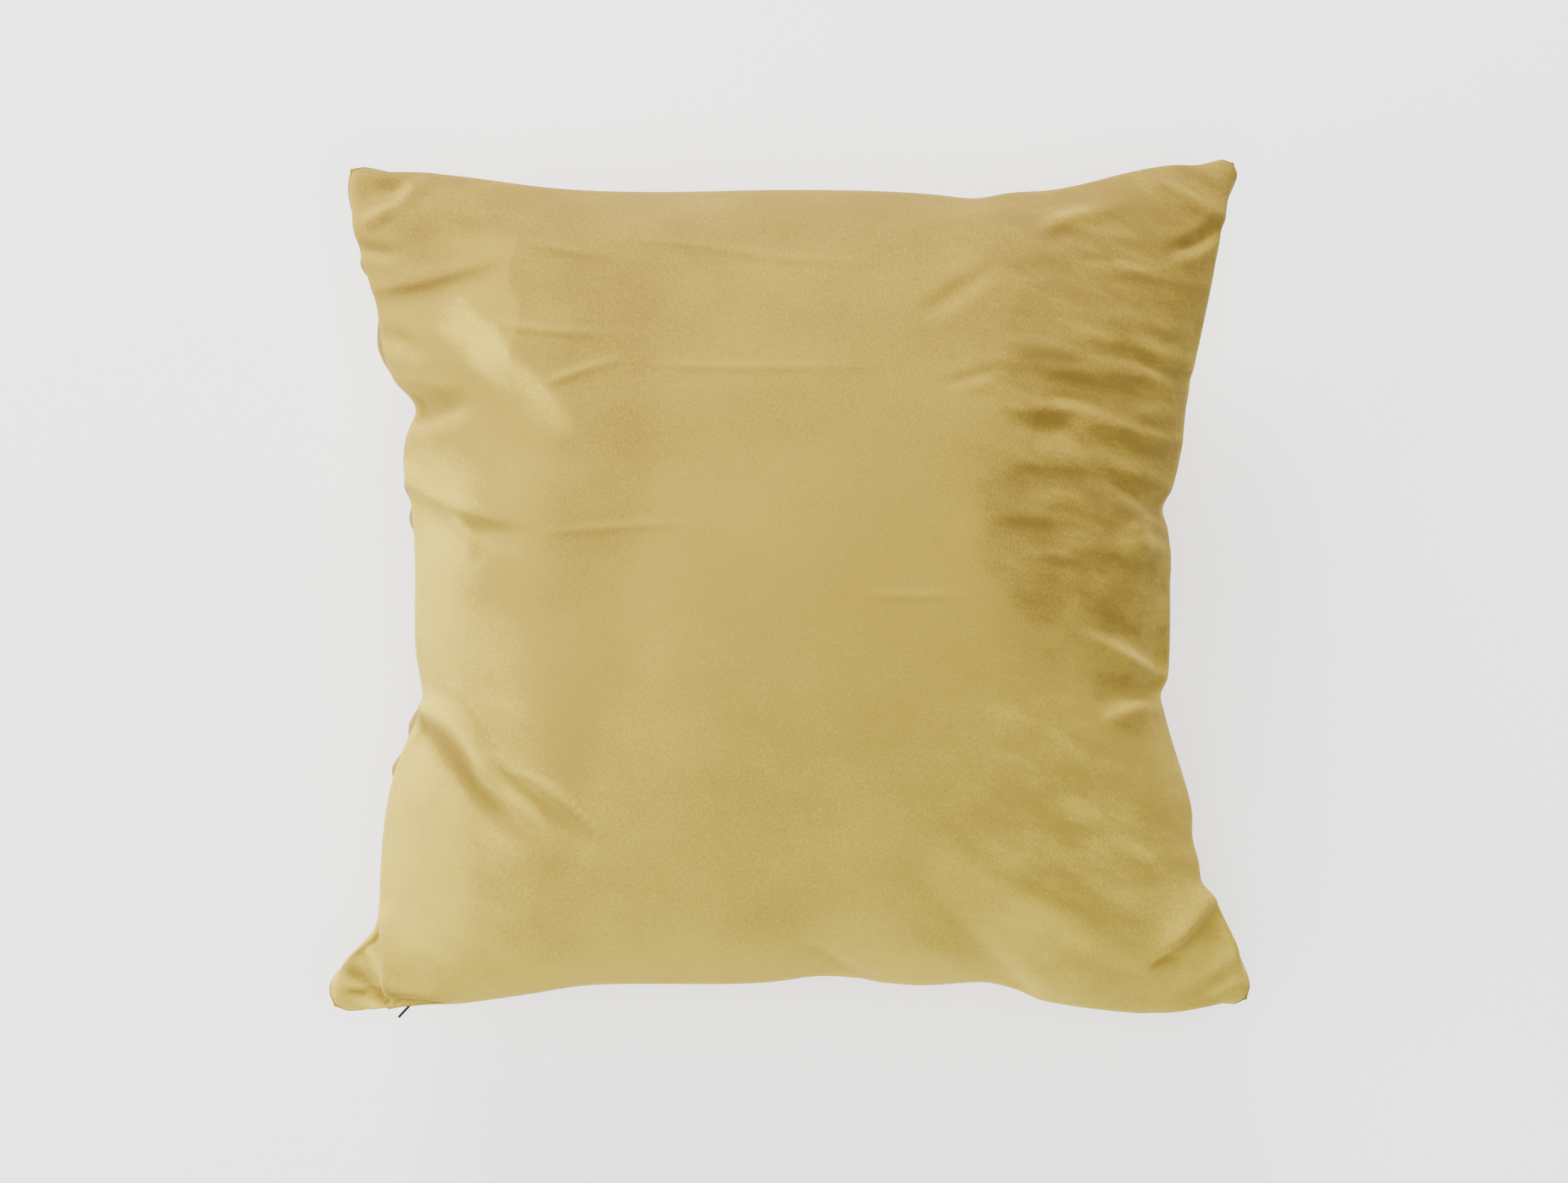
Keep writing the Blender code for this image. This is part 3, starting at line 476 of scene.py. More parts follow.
def keep_channel_clear(grid):
    """Holds the cloth behind the zip's face where the slider and its pull pass, and in front of the tapes."""
    x, y, z = np.moveaxis(grid, -1, 0)
    rise = np.abs(z - SEAM_Z)
    near = smooth(*CHANNEL_START, x) * (1 - smooth(*CHANNEL_END, x)) * (y < 0)
    limit = ZIP_FACE_Y - CHANNEL_FLARE * smooth(CHANNEL_HALF, CHANNEL_HALF + CHANNEL_FADE, rise)
    held = np.maximum(y, limit)
    over_tape = (1 - smooth(*TAPE_RISE, rise)) * (1 - smooth(*TAPE_NEAR, held - ZIP_FACE_Y))
    held = held + over_tape * np.minimum(ZIP_FACE_Y + TAPE_CLEAR - held, 0)
    grid[..., 1] += near * (held - y)
    return grid


def zip_share(grid):
    """1 along the zip, 0 away from it."""
    x = grid[..., 0]
    ends = smooth(ZIP_LEFT - ZIP_FADE, ZIP_LEFT, x) * (1 - smooth(ZIP_RIGHT, ZIP_RIGHT + ZIP_FADE, x))
    return ends * (grid[..., 1] < ZIP_FACE_Y + ZIP_REACH)


def push_out(grid, way, amount):
    """Moves a panel's points level and outwards; way is +1 on the front panel and -1 on the back."""
    return grid + way * amount[..., None] * normals_of(grid) * np.array([1, 1, 0])


def tuck_in(grid, way, out):
    """Pulls the sewn rim in between the two panels, which swell past it on both sides."""
    amount = SEAM_TUCK * (1 - np.clip(out / TUCK_REACH, 0, 1)) ** 2 * (1 - zip_share(grid))
    return push_out(grid, way, -amount)


def part_at_seam(grid, way, out):
    """Lifts a panel's rim off the seam plane (way +1 up, -1 down), further along the zip."""
    gap = SEAM_GAP + (ZIP_GAP - SEAM_GAP) * zip_share(grid)
    grid[..., 2] += way * gap * (1 - smooth(0, GAP_REACH, out))
    return grid


def swell_ears(grid, way, out, rows, columns, amount):
    """Swells the cloth at the four corners, where the outline is too tight to be fitted side by side."""
    corner = 1 - smooth(*EAR_EASE, np.maximum(room_beside(rows)[:, None], room_beside(columns)))
    return push_out(grid, way, amount * corner * smooth(*EAR_RISE, out))


# ---- folds

def measure(points, path):
    """For points in plan: distance to the left of a path (signed), and the share of its length passed."""
    path = np.array(path) * MM
    steps = np.diff(path, axis=0)
    lengths = np.linalg.norm(steps, axis=1)
    best = np.full(points.shape[:-1], np.inf)
    signed, share = np.zeros_like(best), np.zeros_like(best)
    passed = 0.0
    for start, step, length in zip(path, steps, lengths):
        offset = points - start
        t = np.clip(offset @ step / length**2, 0, 1)
        miss = offset - t[..., None] * step
        distance = np.linalg.norm(miss, axis=-1)
        cross = step[0] * offset[..., 1] - step[1] * offset[..., 0]
        nearer = distance < best
        best = np.where(nearer, distance, best)
        signed = np.where(nearer, np.where(cross < 0, -distance, distance), signed)
        share = np.where(nearer, (passed + t * length) / lengths.sum(), share)
        passed += length
    return signed, share


def fold_height(points, kind, height, width, start, end, path):
    """Height of one fold: a rounded ridge, a valley between soft banks, or a step high on the left."""
    path = b_spline(path, PATH_STEPS)
    reach = FOLD_REACH * width
    near = ((points > (path.min(0) - reach) * MM) & (points < (path.max(0) + reach) * MM)).all(-1)
    distance, share = measure(points[near], path)
    across = distance / (width * MM)
    if kind == "step":
        profile = across * np.exp(1 - np.where(across > 0, across, -across / STEP_TROUGH))
    else:
        profile = np.exp(-(across**2))
        if kind == "valley":
            profile = BANK_HEIGHT * np.exp(-((np.abs(across) - BANK_PLACE) ** 2)) - profile
    ends = start + (1 - start) * smooth(*FOLD_START, share)
    ends = ends * (end + (1 - end) * (1 - smooth(*FOLD_END, share)))
    raised = np.zeros(points.shape[:-1])
    raised[near] = height * MM * ends * profile
    return raised


def gathers():
    """Shallow wrinkles that fan in from the right seam of the front, always the same ones."""
    rng = np.random.default_rng(GATHER_SEED)
    for _ in range(GATHERS):
        x, y, lean, half = (rng.uniform(*r) for r in GATHER_PLACES)
        fall, rise = (bend * lean * half for bend in GATHER_BEND)
        path = ((x - half, y - fall), (x, y), (x + half, y + rise))
        kind = rng.choice(["ridge", "valley", "step"])
        yield kind, rng.uniform(*GATHER_HEIGHT), rng.uniform(*GATHER_WIDTH), 0, 0, path


def back_wrinkles():
    """Wrinkles that run in from the back panel's seams, always the same ones."""
    rng = np.random.default_rng(WRINKLE_SEED)
    for _ in range(BACK_WRINKLES):
        along, side_of = rng.uniform(*WRINKLE_ALONG), rng.integers(4)
        start, slant, length = (rng.uniform(*r) for r in WRINKLE_RUNS)
        ends = [(along, start), (along * WRINKLE_DRAW + slant * length, start - length)]
        path = [(x, y) if side_of % 2 else (y, x) for x, y in ends]
        if side_of > 1:
            path = [(-x, -y) for x, y in path]
        kind = rng.choice(["ridge", "valley"])
        yield kind, rng.uniform(*WRINKLE_HEIGHT), rng.uniform(*WRINKLE_WIDTH), WRINKLE_AT_SEAM, 0, path


def waves(points, seed, wavelengths):
    """Soft undulations about 1 high, from a few waves of different lengths and directions."""
    rng = np.random.default_rng(seed)
    height = np.zeros(points.shape[:-1])
    for _ in range(WAVE_COUNT):
        angle, wavelength, phase = rng.uniform(0, pi), rng.uniform(*wavelengths), rng.uniform(0, 2 * pi)
        along = points @ np.array([cos(angle), sin(angle)])
        height += np.sin(2 * pi * along / wavelength + phase)
    return height / WAVE_COUNT**0.5


def fold_field(points, folds, hollows=()):
    """Height that folds and hollows give each place in plan."""
    height = sum(fold_height(points, *fold) for fold in folds)
    for x, y, across, up, depth in hollows:
        miss = (points - np.array((x, y)) * MM) / (np.array((across, up)) * MM)
        height = height - depth * MM * np.exp(-(miss**2).sum(-1))
    return height


def raise_folds(grid, out, swell, folds, hollows=()):
    """Raises a panel along its normals by soft swells and by its folds, but not at the seam."""
    points = seen(grid)
    height = swell * waves(points, SWELL_SEED, SWELL_WAVES) * smooth(*SWELL_FADE, out)
    height = (height + fold_field(points, folds, hollows)) * smooth(*FOLD_FADE, out)
    return grid + height[..., None] * normals_of(grid)


# ---- painted light and shade, and the pile's brush marks

def fold_slope(points):
    """How steeply the folds rise towards FOLD_LIGHT: for painted shade on their far faces and painted light
    on their near ones.
    """
    folds = (*FOLDS, *gathers())
    step = SLOPE_STEP * np.array(FOLD_LIGHT)
    ahead, behind = (fold_field(points + way * step, folds, HOLLOWS) for way in (1, -1))
    return (ahead - behind) / (2 * SLOPE_STEP)


def brush_and_light_marks(points):
    """How much the brush marks and painted light and shade lighten the velvet at places in plan, given in
    millimetres.
    """
    marks = np.zeros(points.shape[:-1])
    for strength, width, left, right, path in BRUSH_AND_LIGHT_MARKS:
        distance, share = measure(points * MM, b_spline(path, PATH_STEPS))
        distance = distance / MM
        ends = smooth(*BRUSH_START, share) * (1 - smooth(*BRUSH_END, share))
        taper = width * (1 - BRUSH_TAPER * smooth(*BRUSH_NARROWS, share))
        edges = (1 - smooth(taper - left, taper, distance)) * (1 - smooth(taper - right, taper, -distance))
        marks = marks + strength * ends * edges
    return marks


def crushed_at(x, y):
    """How crushed the pile is, from 0 to 1, at places in millimetres."""
    right = smooth(*CRUSHED_RIGHT, x) * (1 - LOW_EASE * smooth(*CRUSHED_LOW, y))
    return np.maximum(right, LEFT_SHARE * (1 - smooth(*CRUSHED_LEFT, x)))


def light_and_pile_of(grid):
    """Painted light and shade with brush marks, -1 dark to 1 light, and how crushed the pile is, 0 to 1, at
    each point.
    """
    places = seen(grid)
    wander = np.stack([waves(places, seed, WANDER_WAVES) for seed in WANDER_SEEDS], -1) * MARK_WANDER
    points = (places + wander) / MM
    x, y = points[..., 0], points[..., 1]
    level, steep = np.moveaxis(normals_of(grid)[..., :2], -1, 0)
    # painted light on slopes facing left and shade on those facing right; painted sheen at the bottom rim and
    # shade at the top
    light_and_pile = PAINTED_LIGHT_BY_SLOPE * (smooth(*SLOPE_LIGHT, -level) - DARK_SHARE * smooth(*SLOPE_DARK, level))
    light_and_pile = light_and_pile + PAINTED_SHEEN_AT_BOTTOM * smooth(*STEEP, -steep) + PAINTED_SHADE_AT_TOP * smooth(*STEEP, steep)
    # painted light growing towards the bottom of the pillow
    light_and_pile = light_and_pile - PAINTED_LIGHT_DOWN * y * MM / CUT_SIDE
    # painted shade on the folds' far faces and light on their near ones
    light_and_pile = light_and_pile - PAINTED_FOLD_SHADE * np.tanh(fold_slope(places))
    return np.tanh(LIGHT_AND_PILE_CONTRAST * (light_and_pile + brush_and_light_marks(points))), crushed_at(x, y)


# ---- meshes

def solid_between(name, outer, inner):
    """A closed mesh: the outer grid, the inner grid facing the other way, and a rim between them."""
    rows, columns = outer.shape[:2]
    ids = np.arange(rows * columns).reshape(rows, columns)
    skin = quads_of(ids)
    rim = np.concatenate([ids[0, :-1], ids[:-1, -1], ids[-1, :0:-1], ids[:0:-1, 0]])
    around = np.stack([rim, np.roll(rim, -1)], -1)
    shift = rows * columns
    sides = np.stack([around[:, 1], around[:, 0], around[:, 0] + shift, around[:, 1] + shift], -1)
    faces = np.vstack([skin, skin[:, ::-1] + shift, sides])
    return new_object(name, np.vstack([outer.reshape(-1, 3), inner.reshape(-1, 3)]), faces)


def shell(name, outer, thickness):
    """A sheet of even thickness behind a grid."""
    return solid_between(name, outer, outer - thickness * normals_of(outer))


def linked(name, data):
    """A new object in the scene."""
    made = bpy.data.objects.new(name, data)
    bpy.context.scene.collection.objects.link(made)
    return made


def new_object(name, points, faces):
    """A smooth mesh object."""
    mesh = bpy.data.meshes.new(name)
    mesh.from_pydata(points.tolist(), [], faces.tolist())
    mesh.shade_smooth()
    return linked(name, mesh)


def tube(name, path, radius):
    """A round wire with closed ends along a path of points."""
    path = np.array(path, float)
    ahead = np.gradient(path, axis=0)
    ahead /= np.linalg.norm(ahead, axis=1, keepdims=True)
    level = np.cross(ahead, WIRE_UPRIGHT)
    level /= np.linalg.norm(level, axis=1, keepdims=True)
    upright = np.cross(ahead, level)
    turn = np.linspace(0, 2 * pi, WIRE_SIDES, endpoint=False)
    ring = level[:, None] * np.cos(turn)[:, None] + upright[:, None] * np.sin(turn)[:, None]
    points = (path[:, None] + radius * ring).reshape(-1, 3)
    ids = np.arange(len(points)).reshape(-1, WIRE_SIDES)
    after = np.roll(ids, -1, axis=1)
    quads = np.stack([ids[:-1], ids[1:], after[1:], after[:-1]], -1).reshape(-1, 4)
    caps = [ids[0].tolist(), ids[-1][::-1].tolist()]
    made = new_object(name, points, quads)
    bm = bmesh.new()
    bm.from_mesh(made.data)
    bm.verts.ensure_lookup_table()
    for cap in caps:
        bm.faces.new([bm.verts[i] for i in cap])
    bmesh.ops.recalc_face_normals(bm, faces=bm.faces)
    bm.to_mesh(made.data)
    bm.free()
    made.data.shade_smooth()
    return made


def finish_piece(made, look, node):
    """Gives a piece its material and hides the CAD node it stands for; all ride on the pillow."""
    made.data.materials.append(look)
    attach(made, "pillow")
    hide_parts(node)


def store(made, name, values):
    """Keeps one number for each point of a shell's outer grid, and the same for the inner one."""
    layer = made.data.attributes.new(name, "FLOAT", "POINT")
    layer.data.foreach_set("value", np.tile(values.ravel(), 2).astype(np.float32))


# ---- materials

class Look:
    """A material's node tree, with short calls for the nodes that the looks here use."""

    def __init__(self, name, colour=(0.8, 0.8, 0.8), roughness=0.5, **sockets):
        self.material = bpy.data.materials.new(name)
        self.material.use_nodes = True
        self.tree = self.material.node_tree
        self.shader = self.tree.nodes["Principled BSDF"]
        self.shader.inputs["Base Color"].default_value = (*colour, 1)
        self.shader.inputs["Roughness"].default_value = roughness
        for socket, value in sockets.items():
            self.shader.inputs[socket.replace("_", " ")].default_value = value

    def node(self, kind, settings=None, **links):
        """Adds a node; links and values are given by socket name, with _ for a space."""
        made = self.tree.nodes.new(kind)
        for key, value in (settings or {}).items():
            setattr(made, key, value)
        for socket, value in links.items():
            self.set(made.inputs[socket.replace("_", " ")], value)
        return made

    def set(self, socket, value):
        if isinstance(value, bpy.types.NodeSocket):
            self.tree.links.new(value, socket)
        else:
            socket.default_value = value

    def place(self, scale=(1, 1, 1), turn=0.0):
        """Object coordinates turned about Z, then scaled: features repeat about scale times in a metre."""
        where = self.node("ShaderNodeTexCoord").outputs["Object"]
        turned = self.node("ShaderNodeMapping", Vector=where, Rotation=(0, 0, turn)).outputs["Vector"]
        return self.node("ShaderNodeMapping", Vector=turned, Scale=scale).outputs["Vector"]

    def noise(self, scale, turn=0.0, detail=3.0, roughness=0.5):
        made = self.node("ShaderNodeTexNoise", Vector=self.place(scale, turn), Scale=1.0, Detail=detail)
        made.inputs["Roughness"].default_value = roughness
        return made.outputs["Fac"]

    def waves(self, width, turn=0.0):
        """Straight bands, from 0 to 1, one in each width, across X when turn is 0."""
        made = self.node("ShaderNodeTexWave", Vector=self.place(turn=turn), Scale=pi / 10 / width)
        return made.outputs["Fac"]

    def math(self, operation, first, second=0.0, third=0.0):
        made = self.tree.nodes.new("ShaderNodeMath")
        made.operation = operation
        for socket, value in zip(made.inputs, (first, second, third)):
            self.set(socket, value)
        return made.outputs[0]

    def blend(self, first, second, share):
        """The first pattern by its share, and the second by the rest."""
        return self.math("MULTIPLY_ADD", first, share, self.math("MULTIPLY", second, 1 - share))

    def attribute(self, name):
        return self.node("ShaderNodeAttribute", {"attribute_name": name}).outputs["Fac"]

    def paint(self, value, *stops):
        """Colours the surface by a ramp; each stop is its place from 0 to 1 and its colour."""
        made = self.node("ShaderNodeValToRGB", Fac=value)
        made.color_ramp.interpolation = "EASE"
        elements = made.color_ramp.elements
        while len(elements) < len(stops):
            elements.new(0.5)
        for element, (place, colour) in zip(elements, stops):
            element.position = place
            element.color = (*colour, 1)
        self.tree.links.new(made.outputs["Color"], self.shader.inputs["Base Color"])

    def bump(self, height, strength, distance):
        made = self.node("ShaderNodeBump", Height=height, Strength=strength, Distance=distance)
        self.tree.links.new(made.outputs["Normal"], self.shader.inputs["Normal"])


def velvet():
    """Gold velvet: fine pile grain, soft mottling, brush marks where the pile is crushed, and painted light
    and shade.
    """
    look = Look(
        "gold_velvet", roughness=0.72, Specular_IOR_Level=0.14, Specular_Tint=(1.0, 0.78, 0.28, 1.0),
        Sheen_Weight=0.16, Sheen_Roughness=0.42, Sheen_Tint=(1.0, 0.76, 0.20, 1.0),
    )
    mottle = look.noise((22, 30, 26), detail=4.0, roughness=0.55)
    brush = look.noise((26, 80, 60), turn=radians(22), detail=5.0, roughness=0.6)
    grain = look.noise((1500, 700, 1000), detail=3.0, roughness=0.7)
    value = look.math("MULTIPLY_ADD", mottle, MOTTLE_SHARE, -MOTTLE_SHARE / 2)
    marks = look.math("MULTIPLY", look.math("SUBTRACT", brush, 0.5), look.attribute("crushed"))
    value = look.math("MULTIPLY_ADD", marks, MARK_SHARE, value)
    value = look.math("MULTIPLY_ADD", look.math("SUBTRACT", grain, 0.5), GRAIN_SHARE, value)
    # painted light and shade, with the brush marks, from the point attribute
    value = look.math("MULTIPLY_ADD", look.attribute("light_and_pile"), LIGHT_AND_PILE_SHARE, value)
    value = look.math("ADD", value, 0.5)
    look.paint(value, *zip((0.0, 0.5, 1.0), PILE_COLOURS))
    look.bump(grain, 0.5, 0.5 * MM)
    return look.material


def yarn(name, colour):
    """Polyester sewing thread: slanted plies with a slight shine."""
    look = Look(name, roughness=0.55, Specular_IOR_Level=0.4)
    plies = look.waves(0.6 * MM, turn=radians(40))
    fuzz = look.noise((900, 900, 900))
    tone = look.blend(plies, fuzz, 0.6)
    look.paint(tone, (0.0, [0.55 * c for c in colour]), (1.0, colour))
    look.bump(plies, 0.6, 0.15 * MM)
    return look.material


def woven(name, dark, light, thread_width, turn=0.0, roughness=0.85):
    """Plain-woven cloth: two sets of threads over and under each other, with slightly uneven yarn."""
    look = Look(name, roughness=roughness, Specular_IOR_Level=0.25)
    warp = look.waves(2 * thread_width, turn=turn)
    weft = look.waves(2 * thread_width, turn=turn + pi / 2)
    cloth = look.math("MULTIPLY", look.math("ADD", warp, weft), 0.5)
    slub = look.noise((60, 900, 400), turn=turn, detail=3.0)
    tone = look.blend(slub, cloth, 0.5)
    look.paint(tone, (0.15, dark), (0.85, light))
    look.bump(cloth, 0.5, 0.3 * thread_width)
    return look.material


def fibre():
    """Fluffy white polyester fibre."""
    look = Look("polyester_fibre", roughness=0.95, Specular_IOR_Level=0.15)
    tufts = look.noise((140, 140, 140), detail=6.0, roughness=0.7)
    strands = look.noise((900, 160, 500), turn=radians(30), detail=4.0, roughness=0.7)
    tone = look.blend(tufts, strands, 0.6)
    look.paint(tone, (0.2, (0.52, 0.52, 0.51)), (0.8, (0.90, 0.90, 0.89)))
    look.bump(tone, 0.8, 1.2 * MM)
    return look.material


def satin():
    """Blank white satin ribbon."""
    look = Look("label_satin", roughness=0.38, Specular_IOR_Level=0.5)
    floats = look.waves(0.35 * MM, turn=radians(90))
    cloud = look.noise((120, 120, 120))
    tone = look.blend(floats, cloud, 0.3)
    look.paint(tone, (0.1, (0.62, 0.61, 0.58)), (0.9, (0.84, 0.83, 0.80)))
    look.bump(floats, 0.35, 0.05 * MM)
    return look.material


def nylon():
    """Golden brown nylon of the zip's coils, clear enough to shine."""
    look = Look("zip_nylon", roughness=0.34, Specular_IOR_Level=0.5, Coat_Weight=0.25)
    cloud = look.noise((300, 300, 300), detail=4.0)
    look.paint(cloud, (0.25, (0.17, 0.105, 0.020)), (0.75, (0.27, 0.175, 0.040)))
    look.bump(cloud, 0.2, 0.05 * MM)
    return look.material


def metal(name, dark, light, rough, metallic=1.0):
    """Zinc casting, plated or enamelled: fine scratches, and a finish a little uneven from handling."""
    look = Look(name, roughness=rough, Metallic=metallic, Specular_IOR_Level=0.15)
    scratches = look.noise((3000, 260, 3000), turn=radians(35), detail=3.0, roughness=0.7)
    cloud = look.noise((320, 320, 320), detail=5.0, roughness=0.6)
    tone = look.blend(scratches, cloud, 0.4)
    look.paint(tone, (0.25, dark), (0.75, light))
    handled = look.math("MULTIPLY_ADD", tone, 0.25, rough - 0.1)
    look.tree.links.new(handled, look.shader.inputs["Roughness"])
    look.bump(scratches, 0.25, 0.03 * MM)
    return look.material


# ---- stage

def stage():
    bpy.ops.mesh.primitive_plane_add(size=FLOOR_SIZE)
    floor = bpy.context.object
    floor.name = "floor"
    white = (1, 1, 1, 1)
    look = Look("pale_floor", (0.94, 0.94, 0.94), 0.9, Emission_Color=white, Emission_Strength=FLOOR_GLOW)
    floor.data.materials.append(look.material)
    floor.location.z = -FLOOR_DROP


def area_light(name, place, target, size, power):
    data = bpy.data.lights.new(name, "AREA")
    data.shape = "RECTANGLE"
    data.size, data.size_y = size
    data.energy = power
    lamp = linked(name, data)
    lamp.location = place
    lamp.rotation_euler = (Vector(target) - Vector(place)).to_track_quat("-Z", "Y").to_euler()


def lights():
    for light in LIGHTS:
        area_light(*light)
    world = bpy.data.worlds.new("studio")
    world.use_nodes = True
    background = world.node_tree.nodes["Background"]
    background.inputs["Color"].default_value = (1, 1, 1, 1)
    background.inputs["Strength"].default_value = WORLD_GLOW
    bpy.context.scene.world = world


def camera():
    data = bpy.data.cameras.new("camera")
    data.sensor_width = SENSOR_WIDTH
    data.lens = SENSOR_WIDTH * CAMERA_HEIGHT / VIEW_WIDTH
    made = linked("camera", data)
    made.location = (*CAMERA_PLAN, SEAM_Z + CAMERA_HEIGHT)
    bpy.context.scene.camera = made


# ---- the cover

def shaped_cover():
    """The front and back panels as fine grids, shaped by each point's distance from the seam along the cloth.
    """
    front, back = formed_panels()
    front, back = inflate(front, back)
    rows, columns = cloth_lines(FINE_ROWS), cloth_lines(FINE_COLUMNS, MIDDLE_STRETCH)
    front, back = refine(front, rows, columns), refine(back, rows, columns)
    back[..., 2] = np.maximum(back[..., 2], 0.0)
    out = np.minimum(room_beside(rows)[:, None], room_beside(columns))
    front = swell_ears(tuck_in(front, 1, out), 1, out, rows, columns, EAR_SWELL)
    back = swell_ears(tuck_in(back, -1, out), -1, out, rows, columns, -BACK_INSET)
    for name in ("left", "right", "top", "bottom"):
        ease = BOTTOM_EASE if name == "bottom" else EAR_EASE
        fit_outline(front, name, rows, columns, ease)
        if name != "bottom":
            fit_outline(back, name, rows, columns, ease, BACK_INSET, BACK_BULGES if name == "left" else ())
    front, back = part_at_seam(front, 1, out), part_at_seam(back, -1, out)
    front = keep_channel_clear(raise_folds(front, out, SWELL, (*FOLDS, *gathers()), HOLLOWS))
    back = keep_channel_clear(raise_folds(back, out, -BACK_SWELL, back_wrinkles()))
    back[..., 2] = np.maximum(back[..., 2], 0.0)
    return front, back


def build_cover(front, back):
    look = velvet()
    for name, grid in (("front", front), ("back", back[:, ::-1])):
        made = shell("cover_" + name, grid, CLOTH_THICKNESS)
        finish_piece(made, look, name + "_panel")
        light_and_pile, crushed = light_and_pile_of(grid)
        # painted light and shade on the front; the back is darker all over
        store(made, "light_and_pile", light_and_pile if name == "front" else np.full_like(light_and_pile, BACK_TONE))
        store(made, "crushed", crushed)


def sew(name, path, steps, radius, look, node):
    """A line of thread in the plane of the seam."""
    line = b_spline(path, steps)
    line = np.column_stack([line, np.full(len(line), SEAM_Z)])
    finish_piece(tube(name, line, radius), look, node)


def rim_path(grid, inset, skip):
    """The rim of a grid as a smooth closed path, drawn in by inset, with its corners cut by skip lines."""
    up, across = (np.arange(skip, length - skip, 3) for length in grid.shape[:2])
    sides = (grid[0, across], grid[up, -1], grid[-1, across[::-1]], grid[up[::-1], 0])
    corners_cut = np.vstack([part[:, :2] for part in sides])
    ahead = np.roll(corners_cut, -1, axis=0) - np.roll(corners_cut, 1, axis=0)
    ahead /= np.linalg.norm(ahead, axis=1, keepdims=True)
    inward = np.stack([-ahead[:, 1], ahead[:, 0]], -1)
    return corners_cut + inset * inward


def build_cover_stitching(front):
    """The seam's thread, from one end of the zip round the three closed sides to the other end."""
    path = rim_path(front, *COVER_STITCH)
    start = np.argmin(np.linalg.norm(path - (ZIP_RIGHT + 5 * MM, ZIP_FACE_Y), axis=1))
    path = np.roll(path, -start, axis=0)
    end = np.argmin(np.linalg.norm(path - (ZIP_LEFT - 4 * MM, ZIP_FACE_Y - 8 * MM), axis=1))
    look = yarn("gold_thread", (0.50, 0.36, 0.07))
    sew("cover_stitching", path[: end + 1], 900, COVER_THREAD, look, "cover_seam_thread")


def cover_limit(grid, way):
    """How far from the seam plane there is room inside a panel, above or below any place in plan."""
    rows, columns = grid.shape[:2]
    faces = quads_of(np.arange(rows * columns).reshape(rows, columns))
    tree = BVHTree.FromPolygons(grid.reshape(-1, 3).tolist(), faces.tolist())

    def room(x, y):
        hit = tree.ray_cast(Vector((x, y, SEAM_Z + way * PAD_RIM)), Vector((0, 0, way)))[0]
        return abs(hit.z - SEAM_Z) if hit else 0.0

    return np.vectorize(room)


def pad_grids(cover, scale, slack, lines=PAD_LINES):
    """The insert's front and back as grids: a pillow of its own, puckered at its seam, inside the cover."""
    t = np.sin(np.linspace(-1, 1, lines) * pi / 2 * PAD_BUNCH) / sin(pi / 2 * PAD_BUNCH)
    u, v = np.meshgrid(t, t)
    x = scale * u * (PAD_HALF[0] + PAD_EARS[0] * v * v)
    y = scale * v * (PAD_HALF[1] + PAD_EARS[1] * u * u)
    crown = np.maximum((1 - u * u) * (1 - v * v), 0) ** 0.5
    edge = np.minimum(1 - np.abs(u), 1 - np.abs(v))
    along = np.where(np.abs(u) > np.abs(v), y, x)
    pucker = PUCKER_HEIGHT * np.sin(2 * pi * along / PUCKER)
    pucker = pucker * smooth(*PUCKER_RISE, edge) * (1 - smooth(*PUCKER_FALL, edge))
    grids = []
    for way, grid, rise in zip((1, -1), cover, (FRONT_TOP - SEAM_Z, SEAM_Z)):
        height = np.minimum((rise - slack) * crown + pucker, cover_limit(grid, way)(x, y) - slack)
        height = relax(np.maximum(height, PAD_RIM)[..., None], 3)[..., 0]
        height = np.minimum(height, rise - slack)
        height[edge < 1e-9] = PAD_RIM
        grids.append(np.dstack([x, y, SEAM_Z + way * height]))
    return grids


def build_insert(cover):
    cotton = woven("casing_cotton", (0.62, 0.61, 0.58), (0.88, 0.87, 0.84), 0.45 * MM)
    front, back = pad_grids(cover, 1.0, PAD_SLACK)
    for name, grid in (("front", front), ("back", back[:, ::-1])):
        made = shell("insert_" + name, grid, CASING_THICKNESS)
        finish_piece(made, cotton, "insert_casing_" + name)
    build_filling(cover)
    path = rim_path(front, *INSERT_STITCH)
    look = yarn("white_thread", (0.85, 0.84, 0.80))
    sew("insert_stitching", np.vstack([path, path[:1]]), 700, INSERT_THREAD, look, "insert_seam_thread")


def build_filling(cover):
    """The fibre inside the casing, dented between its tufts but not near its rim."""
    top, bottom = pad_grids(cover, FILL_SCALE, PAD_SLACK + FILL_SLACK, FILL_LINES)
    dents = np.minimum(LUMP * waves(top[..., :2], LUMP_SEED, LUMP_WAVES), 0)
    dents = dents * (np.abs(top[..., 2] - SEAM_Z) > LUMP_MARGIN)
    top[..., 2] += dents
    bottom[..., 2] -= dents
    made = solid_between("fibre_filling", top, bottom)
    finish_piece(made, fibre(), "insert_fill")


